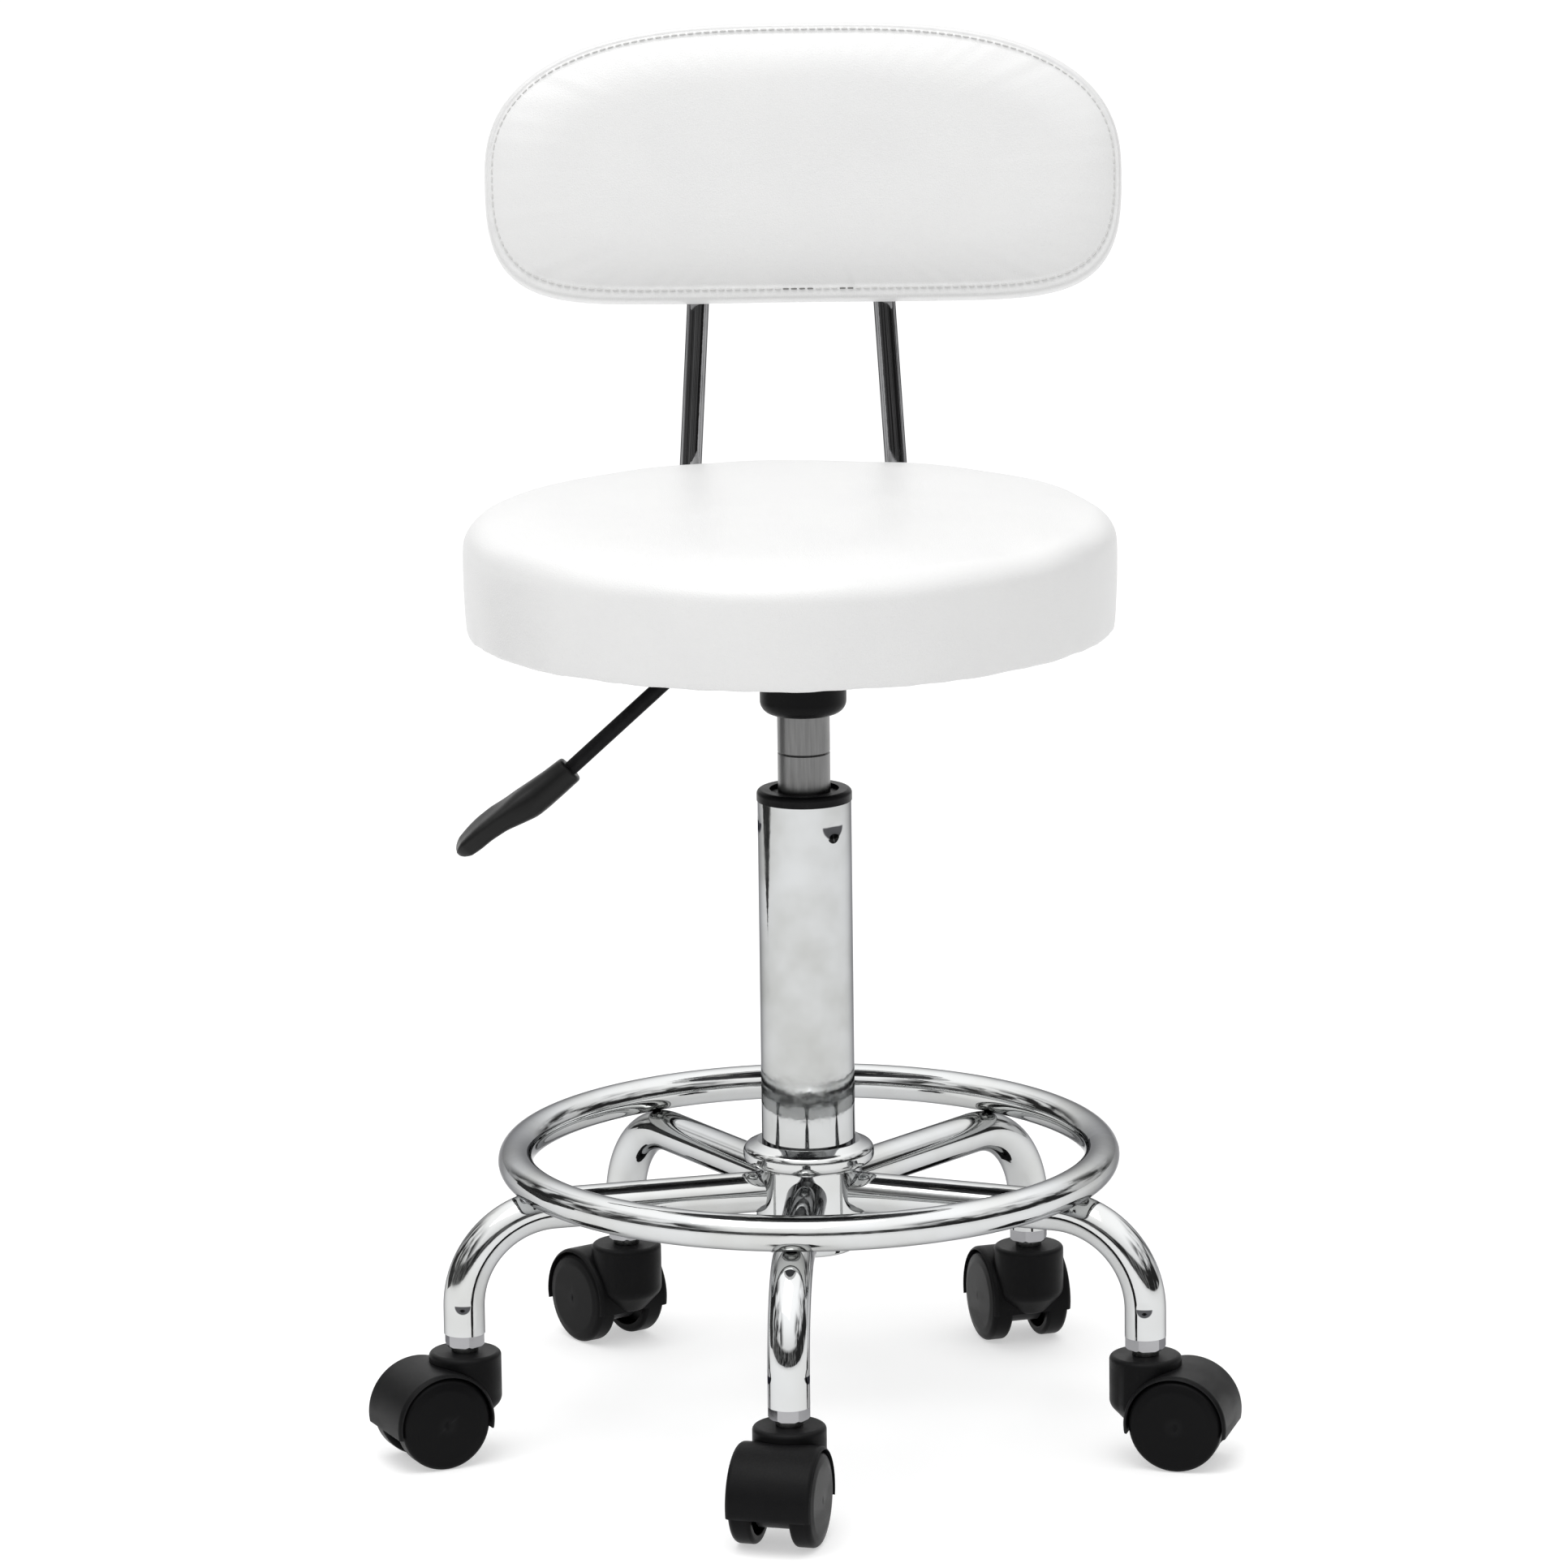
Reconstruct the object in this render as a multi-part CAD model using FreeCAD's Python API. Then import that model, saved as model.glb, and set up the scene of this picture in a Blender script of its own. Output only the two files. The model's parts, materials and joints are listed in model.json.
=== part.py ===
"""Pedicure stool: round padded seat with a low backrest on a gas lift, five bent-tube legs,
a foot ring and five twin-wheel casters.  Millimetres, +Z up, floor at z = 0, the column axis
is the Z axis, the sitter faces -Y and the height lever is on the -X side."""

import FreeCAD, Part
import math
import os

V = FreeCAD.Vector
UP = V(0, 0, 1)
TOUCH = 0.3  # gap left between soft pieces and their neighbours
RUN = 0.05  # radial running clearance of shafts and guides

# ---- driving dimensions -----------------------------------------------------------------
# Base
LEG_COUNT = 5
BASE_TURN = -3.7  # the base stands turned by this much under the seat, degrees
LEG_RADIUS = 11.0
LEG_WALL = 1.5
LEG_AXIS_Z = 132.5
LEG_SPREAD = 190.5  # column axis to caster stem
LEG_BEND = 50.0
LEG_END_Z = 68.0
RING_RADIUS = 157.0
RING_TUBE_RADIUS = 9.5
RING_Z = 150.8
HUB_RADIUS = 28.5
HUB_BOTTOM_Z = 114.0
HUB_BEAD_Z = 153.0
HUB_BEAD_RADIUS = 35.0
HUB_TOP_Z = 160.0

# Column and gas lift
COLUMN_RADIUS = 25.0
COLUMN_WALL = 1.5
COLUMN_BOTTOM_Z = 100.0
COLUMN_FLOOR = 4.0
COLUMN_TOP_Z = 346.0
BUSH_LENGTH = 80.0
BUSH_LIP_TOP_Z = 352.0
GAS_RADIUS = 14.0
GAS_WALL = 1.25
GAS_BOTTOM_Z = 125.0
GAS_TOP_Z = 414.0
GAS_TAPER_Z = 393.0
GAS_TAPER_TOP_RADIUS = 13.4
ROD_RADIUS = 5.0
ROD_TAIL_RADIUS = 4.0
RACE_THICK = 1.5
BALL_RADIUS = 2.0
BALL_COUNT = 10
BALL_CIRCLE = 9.0
PISTON_Z = 366.0
PISTON_THICK = 10.0
VALVE_RADIUS = 3.0
VALVE_TOP_Z = 420.6
GAS_GROOVE_Z = 372.0
STAKE_TURNS = [37.6, 157.6, 277.6]  # dimples that hold the bush, degrees about Z from -Y
STAKE_Z = 332.0
STAKE_RADIUS = 20.0  # of the punch's ball
STAKE_DEPTH = 0.9

# Seat
SEAT_RADIUS = 174.0
SEAT_PAD_X = -6.0  # the pad sits this far off the column's axis
SEAT_BOTTOM_Z = 439.8
SEAT_TOP_Z = 501.0
SEAT_EDGE_ROUND = 15.0
SKIN = 1.2
BOARD_BOTTOM_Z = 441.0
BOARD_THICK = 12.0
WRAP_WIDTH = 25.0
PLATE_SIDE = 140.0
PLATE_THICK = 3.0
PLATE_TOP_Z = 440.0
PLATE_BOLT_PITCH = 110.0
BOLT_RADIUS = 3.0
CUP_RADIUS = 23.0
CUP_BOTTOM_Z = 393.0
CUP_TOP_Z = 432.0
SOCKET_RADIUS = 19.0

# Lever
LEVER_RADIUS = 4.0
LEVER_Z = 425.0
LEVER_PIVOT_X = -32.0
LEVER_BEND_X = -56.7
LEVER_DROP = 42.2  # degrees below horizontal outside the bend
GRIP_START = 90.0  # along the sloping run, from the bend corner
PIVOT_PIN_RADIUS = 2.0

# Backrest
BACK_LEAN = 10.0  # degrees from vertical
BACK_HALF_WIDTH = 173.0
BACK_PAD_X = 7.3  # the pad sits this far off the middle between its rods
BACK_SHIFT_X = -3.3  # the rods' middle sits this far off the column's axis
BACK_HEIGHT = 152.0
BACK_THICK = 45.0
BACK_ROOT = V(0, 195.2, 578.5)  # bottom middle of the cushion's rear face
BACK_BOARD_THICK = 9.0
BACK_ROD_RADIUS = 6.0
BACK_ROD_Z = 433.7
BACK_ROD_CORNER_Y = 176.0
BACK_ROD_CORNER_X = 59.8
BACK_ROD_CONVERGE = 3.4  # degrees
BACK_ROD_BEND = 15.0
TAB_WIDTH = 20.0
TAB_THICK = 6.0

# Casters
STEM_RADIUS = 5.5
WHEEL_RADIUS = 25.0
WHEEL_WIDTH = 12.5
WHEEL_INNER = 10.3  # caster centre plane to a wheel's inner face
TRAIL = 20.0
AXLE_RADIUS = 3.0
HOOD_BOSS_RADIUS = 19.3
HOOD_TOP_Z = 58.0
HOOD_WALL_RADIUS = 27.8
WHEEL_GAP = 1.0
HOOD_HALF_WIDTH = 22.8
FENDER_DROP = 11.0  # degrees the fender reaches below the axle behind the wheels

# Where each leg stands, and where its caster has come to rest: names run anticlockwise
# as seen from above, starting with the leg under the sitter's knees.
LEG_NAMES = ["front", "front_right", "rear_right", "rear_left", "front_left"]
CASTER_TURNS = [-15.0, 75.0, 198.0, 214.8, -65.0]  # trail direction, degrees about Z from -Y


# ---- drawing helpers ---------------------------------------------------------------------
def rounded_path(corners, closed=False):
    """Wire of straight runs joined by tangent arcs; corners are (Vector, radius) pairs."""
    count = len(corners)
    spans = []
    for index, (corner, radius) in enumerate(corners):
        is_end = not closed and index in (0, count - 1)
        if is_end or radius == 0:
            spans.append((corner, None, corner))
            continue
        before = (corners[index - 1][0] - corner).normalize()
        after = (corners[(index + 1) % count][0] - corner).normalize()
        half = before.getAngle(after) / 2
        reach = radius / math.tan(half)
        inward = (before + after).normalize()
        middle = corner + inward * (radius / math.sin(half) - radius)
        spans.append((corner + before * reach, middle, corner + after * reach))
    edges = []
    for index, (start, middle, end) in enumerate(spans):
        if middle is not None:
            edges.append(Part.Arc(start, middle, end).toShape())
        if closed or index + 1 < count:
            following = spans[(index + 1) % count][0]
            if (following - end).Length > 1e-6:
                edges.append(Part.makeLine(end, following))
    return Part.Wire(edges)


def turned(outline):
    """Solid of revolution about Z; outline holds (radius, z) or (radius, z, corner radius)."""
    corners = [(V(p[0], 0, p[1]), p[2] if len(p) > 2 else 0) for p in outline]
    return Part.Face(rounded_path(corners, closed=True)).revolve(V(0, 0, 0), UP, 360)


def cylinder(radius, low_z, high_z, x=0.0, y=0.0):
    """Upright cylinder between two heights."""
    return Part.makeCylinder(radius, high_z - low_z, V(x, y, low_z))


def box(low, high):
    """Box between two corners."""
    return Part.makeBox(high[0] - low[0], high[1] - low[1], high[2] - low[2], V(*low))


def swept_round(path, radius):
    """Round bar along a wire that starts at its first vertex."""
    start = path.OrderedVertexes[0].Point
    heading = path.OrderedEdges[0].tangentAt(path.OrderedEdges[0].FirstParameter)
    if path.OrderedEdges[0].Orientation == "Reversed":
        heading = heading * -1
    section = Part.Wire([Part.Circle(start, heading, radius).toShape()])
    return path.makePipeShell([section], True, False)


def turned_about_z(shape, degrees):
    """Copy of a shape turned about the column axis."""
    copy = shape.copy()
    copy.rotate(V(0, 0, 0), UP, degrees)
    return copy


def mirrored(shape):
    """Copy of a shape mirrored to the other side of the middle plane x = 0."""
    return shape.mirror(V(0, 0, 0), V(1, 0, 0))


def export(name, shape):
    """Write one node, after checking that it is whole."""
    if not shape.isValid() or not shape.Solids:
        raise ValueError(name + " is not a valid solid")
    if len(shape.Solids) == 1:
        shape = shape.Solids[0]
    shape.exportStep("parts/" + name + ".step")


# ---- base: hub, legs, foot ring ------------------------------------------------------------
def leg_turn(index):
    """Angle of a leg about Z, degrees."""
    return index * 360.0 / LEG_COUNT + BASE_TURN


def leg_place(index):
    """Caster stem position of a leg on the floor plane."""
    angle = math.radians(leg_turn(index))
    return V(LEG_SPREAD * math.sin(angle), -LEG_SPREAD * math.cos(angle), 0)


def base_hub():
    """Welded hub around the foot of the column, with its rounded bead."""
    return turned([
        (COLUMN_RADIUS, HUB_BOTTOM_Z), (HUB_RADIUS, HUB_BOTTOM_Z, 1.0),
        (HUB_RADIUS, HUB_BEAD_Z - 6.0, 1.5), (HUB_BEAD_RADIUS, HUB_BEAD_Z - 4.5, 4.0),
        (HUB_BEAD_RADIUS, HUB_BEAD_Z + 3.5, 4.5), (HUB_RADIUS - 0.8, HUB_TOP_Z, 1.2),
        (COLUMN_RADIUS, HUB_TOP_Z)])


def leg(index):
    """One bent tube from the hub out and down to its caster."""
    path = [(V(0, -COLUMN_RADIUS, LEG_AXIS_Z), 0), (V(0, -LEG_SPREAD, LEG_AXIS_Z), LEG_BEND),
            (V(0, -LEG_SPREAD, LEG_END_Z), 0)]
    outer = swept_round(rounded_path(path), LEG_RADIUS)
    inner = swept_round(rounded_path(path), LEG_RADIUS - LEG_WALL)
    tube = outer.cut(inner).cut(cylinder(HUB_RADIUS, HUB_BOTTOM_Z, HUB_BEAD_Z - 6.0))
    tube = tube.cut(base_hub())
    return turned_about_z(tube, leg_turn(index))


def leg_sockets():
    """Plug with a hexagon collar in the foot of each leg, bored for the caster stem."""
    collar_low, collar_half, plug_length = 61.5, 9.5, 14.0
    plug = cylinder(LEG_RADIUS - LEG_WALL - RUN, LEG_END_Z, LEG_END_Z + plug_length)
    corner = collar_half / math.cos(math.radians(30))
    hexagon = Part.makePolygon([V(corner * math.cos(math.radians(60 * k)),
                                  corner * math.sin(math.radians(60 * k)), collar_low)
                                for k in range(7)])
    collar = Part.Face(hexagon).extrude(V(0, 0, LEG_END_Z - collar_low))
    collar = collar.common(turned([(0, collar_low), (corner - 0.9, collar_low),
                                   (corner, collar_low + 0.9), (corner, LEG_END_Z),
                                   (0, LEG_END_Z)]))
    socket = collar.fuse(plug).cut(cylinder(STEM_RADIUS - 0.45, collar_low - 1, LEG_END_Z + plug_length + 1))
    return at_every_leg(socket)


def at_every_leg(shape):
    """Compound of one copy at each caster position."""
    copies = []
    for index in range(LEG_COUNT):
        copy = turned_about_z(shape, leg_turn(index))
        copy.translate(leg_place(index))
        copies.append(copy)
    return Part.makeCompound(copies)


def foot_ring(legs):
    """Chrome ring welded on the shoulders of the legs."""
    ring = Part.makeTorus(RING_RADIUS, RING_TUBE_RADIUS, V(0, 0, RING_Z), UP)
    for tube in legs:
        ring = ring.cut(tube)
    return ring


# ---- column and gas lift --------------------------------------------------------------------
def column_tube():
    """Outer tube with its closed floor, which carries the thrust bearing."""
    inside = COLUMN_RADIUS - COLUMN_WALL
    tube = turned([
        (ROD_TAIL_RADIUS + RUN, COLUMN_BOTTOM_Z), (COLUMN_RADIUS, COLUMN_BOTTOM_Z, 1.5),
        (COLUMN_RADIUS, COLUMN_TOP_Z), (inside, COLUMN_TOP_Z),
        (inside, COLUMN_BOTTOM_Z + COLUMN_FLOOR),
        (ROD_TAIL_RADIUS + RUN, COLUMN_BOTTOM_Z + COLUMN_FLOOR)])
    punch = Part.makeSphere(STAKE_RADIUS, V(0, -COLUMN_RADIUS - STAKE_RADIUS + STAKE_DEPTH, STAKE_Z))
    for turn in STAKE_TURNS:
        tube = tube.cut(turned_about_z(punch, turn))
    return tube


def column_bush():
    """Nylon guide bush in the top of the column, with its visible lip."""
    bore = GAS_RADIUS + RUN
    outside = COLUMN_RADIUS - COLUMN_WALL
    lip, ledge = COLUMN_RADIUS + 0.4, 18.5
    return turned([
        (bore, COLUMN_TOP_Z - BUSH_LENGTH), (outside, COLUMN_TOP_Z - BUSH_LENGTH),
        (outside, COLUMN_TOP_Z), (lip, COLUMN_TOP_Z), (lip, BUSH_LIP_TOP_Z, 2.5),
        (ledge, BUSH_LIP_TOP_Z), (ledge, BUSH_LIP_TOP_Z - 2.0), (bore, BUSH_LIP_TOP_Z - 2.0)])


RACE_Z = COLUMN_BOTTOM_Z + COLUMN_FLOOR
BALL_Z = RACE_Z + RACE_THICK + BALL_RADIUS
UPPER_RACE_Z = BALL_Z + BALL_RADIUS
SHOULDER_Z = UPPER_RACE_Z + RACE_THICK


def race(low_z):
    """Flat bearing washer around the rod's tail."""
    ring = cylinder(BALL_CIRCLE + 4.0, low_z, low_z + RACE_THICK)
    return ring.cut(cylinder(ROD_TAIL_RADIUS + RUN, low_z - 1, low_z + RACE_THICK + 1))


def thrust_bearing():
    """Ring of balls with the washer they run on."""
    pieces = [race(RACE_Z)]
    for index in range(BALL_COUNT):
        angle = math.radians(index * 360.0 / BALL_COUNT)
        place = V(BALL_CIRCLE * math.cos(angle), BALL_CIRCLE * math.sin(angle), BALL_Z)
        pieces.append(Part.makeSphere(BALL_RADIUS, place))
    return Part.makeCompound(pieces)


def piston_rod():
    """Rod fixed at the foot of the column; the piston sits on its top."""
    tail_low, groove_low, groove_high = COLUMN_BOTTOM_Z - 4.0, COLUMN_BOTTOM_Z - 1.8, COLUMN_BOTTOM_Z - 0.3
    groove = ROD_TAIL_RADIUS - 0.8
    return turned([
        (0, tail_low), (ROD_TAIL_RADIUS, tail_low, 0.5), (ROD_TAIL_RADIUS, groove_low),
        (groove, groove_low), (groove, groove_high), (ROD_TAIL_RADIUS, groove_high),
        (ROD_TAIL_RADIUS, SHOULDER_Z), (ROD_RADIUS, SHOULDER_Z), (ROD_RADIUS, PISTON_Z),
        (ROD_TAIL_RADIUS, PISTON_Z), (ROD_TAIL_RADIUS, PISTON_Z + PISTON_THICK + 4.0, 0.5),
        (0, PISTON_Z + PISTON_THICK + 4.0)])


def rod_clip():
    """Spring clip in the groove under the column's floor."""
    low, high = COLUMN_BOTTOM_Z - 1.8, COLUMN_BOTTOM_Z - 0.3
    return cylinder(8.0, low, high).cut(cylinder(ROD_TAIL_RADIUS - 0.8, low - 1, high + 1)) \
        .cut(box((0, -1.5, low - 1), (9.0, 1.5, high + 1)))


def piston():
    """Piston on the rod, running in the gas cylinder."""
    outer = GAS_RADIUS - GAS_WALL - RUN
    return turned([
        (ROD_TAIL_RADIUS, PISTON_Z), (outer, PISTON_Z, 0.8), (outer, PISTON_Z + 3.5),
        (outer - 1.5, PISTON_Z + 3.5), (outer - 1.5, PISTON_Z + 6.5), (outer, PISTON_Z + 6.5),
        (outer, PISTON_Z + PISTON_THICK, 0.8), (ROD_TAIL_RADIUS, PISTON_Z + PISTON_THICK)])


def bump_stop():
    """Rubber ring that the cylinder comes down on."""
    low, high = SHOULDER_Z, GAS_BOTTOM_Z - TOUCH
    return turned([(ROD_RADIUS, low), (11.0, low, 1.0), (11.0, high, 1.5), (ROD_RADIUS, high)])


def gas_cylinder():
    """Gas lift cylinder: open foot, grooved neck and a tapered, closed top with valve bore."""
    bore, closed_z, neck_z = GAS_RADIUS - GAS_WALL, 388.0, GAS_GROOVE_Z
    return turned([
        (bore, GAS_BOTTOM_Z), (GAS_RADIUS, GAS_BOTTOM_Z, 0.5),
        (GAS_RADIUS, neck_z - 0.6), (GAS_RADIUS - 0.5, neck_z), (GAS_RADIUS, neck_z + 0.6),
        (GAS_RADIUS, GAS_TAPER_Z), (GAS_TAPER_TOP_RADIUS, GAS_TOP_Z, 0.8),
        (VALVE_RADIUS, GAS_TOP_Z), (VALVE_RADIUS, closed_z), (bore, closed_z)])


def rod_guide():
    """Seal and guide in the cylinder's foot."""
    bore = GAS_RADIUS - GAS_WALL
    low, high = GAS_BOTTOM_Z, GAS_BOTTOM_Z + 18.0
    return turned([(ROD_RADIUS + RUN, low), (bore, low), (bore, high), (ROD_RADIUS + RUN, high)])


def valve_pin():
    """Pin that the lever presses to free the gas lift."""
    outer = VALVE_RADIUS - RUN
    return turned([(0, 391.0), (outer, 391.0, 0.4), (outer, VALVE_TOP_Z, 1.8), (0, VALVE_TOP_Z)])


# ---- seat mechanism --------------------------------------------------------------------------
def stem_socket():
    """Steel socket under the seat plate, tapered to hold the cylinder, slotted for the lever."""
    low, seat_z = CUP_BOTTOM_Z + 3.5, GAS_TOP_Z + 1.0
    plate_low = PLATE_TOP_Z - PLATE_THICK
    slope = (GAS_RADIUS - GAS_TAPER_TOP_RADIUS) / (GAS_TOP_Z - GAS_TAPER_Z)
    low_bore = GAS_RADIUS - slope * (low - GAS_TAPER_Z)
    seat_bore = GAS_RADIUS - slope * (seat_z - GAS_TAPER_Z)
    socket = turned([
        (low_bore, low), (SOCKET_RADIUS, low, 1.0), (SOCKET_RADIUS, plate_low),
        (SOCKET_RADIUS - 3.0, plate_low), (SOCKET_RADIUS - 3.0, seat_z + 1.0), (seat_bore, seat_z)])
    return socket.cut(lever_slot())


def lever_slot():
    """Room for the lever to swing through the socket and its cup."""
    return box((-CUP_RADIUS - 2, -LEVER_RADIUS - 1.0, LEVER_Z - LEVER_RADIUS - 3.5),
               (0, LEVER_RADIUS + 1.0, LEVER_Z + LEVER_RADIUS + 4.0))


def socket_cup():
    """Black cup that covers the socket."""
    bore = GAS_RADIUS + 0.4
    cup = turned([
        (bore, CUP_BOTTOM_Z), (CUP_RADIUS, CUP_BOTTOM_Z, 7.0), (CUP_RADIUS, CUP_TOP_Z, 0.8),
        (SOCKET_RADIUS, CUP_TOP_Z), (SOCKET_RADIUS, CUP_BOTTOM_Z + 3.5),
        (bore, CUP_BOTTOM_Z + 3.5)])
    return cup.cut(lever_slot())


def corner_places(pitch):
    """Four bolt places on a square around the column axis."""
    half = pitch / 2
    return [(sx * half, sy * half) for sx in (-1, 1) for sy in (-1, 1)]


def seat_plate():
    """Pressed steel plate under the seat board with the two ears of the lever pivot."""
    low = PLATE_TOP_Z - PLATE_THICK
    half = PLATE_SIDE / 2
    corners = [(V(sx * half, sy * half, low), 12.0)
               for sx, sy in ((-1, -1), (1, -1), (1, 1), (-1, 1))]
    plate = Part.Face(rounded_path(corners, closed=True)).extrude(V(0, 0, PLATE_THICK))
    for x, y in corner_places(PLATE_BOLT_PITCH):
        plate = plate.cut(cylinder(BOLT_RADIUS + 0.3, low - 1, PLATE_TOP_Z + 1, x, y))
    for side in (-1, 1):
        inner, outer = LEVER_RADIUS + 0.6, LEVER_RADIUS + 3.1
        y_low, y_high = sorted((side * inner, side * outer))
        ear = box((LEVER_PIVOT_X - 6, y_low, LEVER_Z), (LEVER_PIVOT_X + 6, y_high, low))
        round_end = Part.makeCylinder(6.0, y_high - y_low, V(LEVER_PIVOT_X, y_low, LEVER_Z), V(0, 1, 0))
        plate = plate.fuse(ear.fuse(round_end))
    return plate.cut(pivot_cylinder(PIVOT_PIN_RADIUS, 12.0)).removeSplitter()


def pivot_cylinder(radius, half_length):
    """Cylinder on the lever's pivot axis."""
    start = V(LEVER_PIVOT_X, -half_length, LEVER_Z)
    return Part.makeCylinder(radius, 2 * half_length, start, V(0, 1, 0))


def lever_pivot_pin():
    """Rivet through both ears and the lever, headed at both ends."""
    shaft = pivot_cylinder(PIVOT_PIN_RADIUS, LEVER_RADIUS + 4.0)
    for side in (-1, 1):
        y_low, y_high = sorted((side * (LEVER_RADIUS + 3.1), side * (LEVER_RADIUS + 4.3)))
        head = Part.makeCylinder(3.4, y_high - y_low, V(LEVER_PIVOT_X, y_low, LEVER_Z), V(0, 1, 0))
        shaft = shaft.fuse(head)
    return shaft


def bolt(head_low, tip_high, x, y):
    """Round-headed bolt pointing up, its head under head_low."""
    head = turned([(0, head_low - 3.2), (BOLT_RADIUS * 2, head_low - 3.2, 1.5),
                   (BOLT_RADIUS * 2, head_low), (0, head_low)])
    hexagon = Part.Face(Part.makePolygon([V(2.3 * math.cos(math.radians(60 * k)),
                                            2.3 * math.sin(math.radians(60 * k)),
                                            head_low - 3.3) for k in range(7)]))
    whole = head.cut(hexagon.extrude(V(0, 0, 2.0))).fuse(cylinder(BOLT_RADIUS, head_low, tip_high))
    whole.translate(V(x, y, 0))
    return whole


def t_nut(board_low, board_high, x, y):
    """Flanged nut pressed into a board from its far face."""
    body = cylinder(BOLT_RADIUS + 1.0, board_high - 8.0, board_high, x, y)
    body = body.fuse(cylinder(9.0, board_high, board_high + 1.0, x, y))
    return body.cut(cylinder(BOLT_RADIUS, board_low, board_high + 2, x, y))


def seat_bolts():
    """Four bolts that hold the seat plate."""
    low = PLATE_TOP_Z - PLATE_THICK
    return Part.makeCompound([bolt(low, BOARD_BOTTOM_Z + BOARD_THICK, x, y)
                              for x, y in corner_places(PLATE_BOLT_PITCH)])


# ---- back rods ---------------------------------------------------------------------------------
ROD_TAB_YS = (100.0, 130.0)  # bolt places along a rod's front tab
ROD_TAB_FRONT_Y = 86.0
ROD_TAB_REAR_Y = 146.0
BACK_TAB_US = (48.0, 76.0)  # bolt heights above the cushion's bottom edge
BACK_TAB_LOW_U = 34.0
BACK_TAB_HIGH_U = 90.0


def back_vector(x, u, w):
    """Point in the backrest's own frame: u up along the lean, w forward from its rear face."""
    lean = math.radians(BACK_LEAN)
    return BACK_ROOT + V(x, u * math.sin(lean) - w * math.cos(lean),
                         u * math.cos(lean) + w * math.sin(lean))


def back_rod_x(u):
    """Half distance between the rods at height u of the cushion."""
    z = back_vector(0, u, 0).z
    return BACK_ROD_CORNER_X - (z - BACK_ROD_Z) * math.tan(math.radians(BACK_ROD_CONVERGE))


def back_bolt_places():
    """Bolt places (x, u) of the right-hand rod's upper tab."""
    return [(back_rod_x(u), u) for u in BACK_TAB_US]


def back_rod_right():
    """Round rod bent up behind the seat, flattened and drilled at both ends."""
    behind = BACK_ROD_RADIUS + TOUCH
    top_u = BACK_TAB_LOW_U + 6.0
    path = rounded_path([
        (V(BACK_ROD_CORNER_X, ROD_TAB_REAR_Y - 4.0, BACK_ROD_Z), 0),
        (V(BACK_ROD_CORNER_X, BACK_ROD_CORNER_Y, BACK_ROD_Z), BACK_ROD_BEND),
        (back_vector(back_rod_x(top_u), top_u, -behind), 0)])
    rod = swept_round(path, BACK_ROD_RADIUS)
    x, half = BACK_ROD_CORNER_X, TAB_WIDTH / 2
    tab_high = BACK_ROD_Z + BACK_ROD_RADIUS
    front_tab = box((x - half, ROD_TAB_FRONT_Y, tab_high - TAB_THICK),
                    (x + half, ROD_TAB_REAR_Y, tab_high))
    front_tab = front_tab.makeFillet(6.0, [e for e in front_tab.Edges if is_upright(e)])
    for y in ROD_TAB_YS:
        front_tab = front_tab.cut(cylinder(BOLT_RADIUS + 0.3, tab_high - 20, tab_high + 5, x, y))
    rear_tab = back_tab()
    return rod.fuse(front_tab).fuse(rear_tab).removeSplitter()


def is_upright(edge):
    """True for an edge parallel to Z."""
    tangent = edge.tangentAt(edge.FirstParameter)
    return abs(tangent.z) > 0.999


def back_tab():
    """Flattened upper end of the right-hand rod against the cushion's rear face."""
    half, mid_u = TAB_WIDTH / 2, sum(BACK_TAB_US) / 2
    converge = math.radians(BACK_ROD_CONVERGE)
    lean = math.radians(BACK_LEAN)
    length = BACK_TAB_HIGH_U - BACK_TAB_LOW_U
    tab = box((-half, -TAB_THICK / 2, -length / 2), (half, TAB_THICK / 2, length / 2))
    tab = tab.makeFillet(6.0, [e for e in tab.Edges if abs(e.tangentAt(e.FirstParameter).y) > 0.999])
    for u in BACK_TAB_US:
        hole = Part.makeCylinder(BOLT_RADIUS + 0.3, 20, V(0, -10, u - mid_u), V(0, 1, 0))
        tab = tab.cut(hole)
    tab.rotate(V(0, 0, 0), V(0, 1, 0), -math.degrees(converge))
    tab.rotate(V(0, 0, 0), V(1, 0, 0), -math.degrees(lean))
    tab.translate(back_vector(back_rod_x(mid_u), mid_u, -TOUCH - TAB_THICK / 2))
    return tab


def back_rod_bolts():
    """Bolts that hold both rods under the seat board."""
    head_z = BACK_ROD_Z + BACK_ROD_RADIUS - TAB_THICK
    return Part.makeCompound([bolt(head_z, BOARD_BOTTOM_Z + BOARD_THICK, side * BACK_ROD_CORNER_X, y)
                              for side in (-1, 1) for y in ROD_TAB_YS])


def in_back_frame(shape, x, u, w):
    """Stand a Z-up shape at a backrest point with its Z along the forward normal."""
    placed = shape.copy()
    placed.rotate(V(0, 0, 0), V(1, 0, 0), 90.0 - BACK_LEAN)
    placed.translate(back_vector(x, u, w))
    return placed


def both_sides_back(make):
    """Compound of a shape at all bolt places of the backrest."""
    shapes = []
    for x, u in back_bolt_places():
        for side in (-1, 1):
            shapes.append(make(side * x, u))
    return Part.makeCompound(shapes)


def back_bolts():
    """Bolts from behind through the rod tabs into the back board."""
    tip = SKIN + BACK_BOARD_THICK
    return both_sides_back(lambda x, u: in_back_frame(bolt(-TOUCH - TAB_THICK, tip, 0, 0), x, u, 0))


def back_t_nuts():
    """Flanged nuts in the back board."""
    low, high = SKIN, SKIN + BACK_BOARD_THICK
    return both_sides_back(lambda x, u: in_back_frame(t_nut(low, high, 0, 0), x, u, 0))


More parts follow.
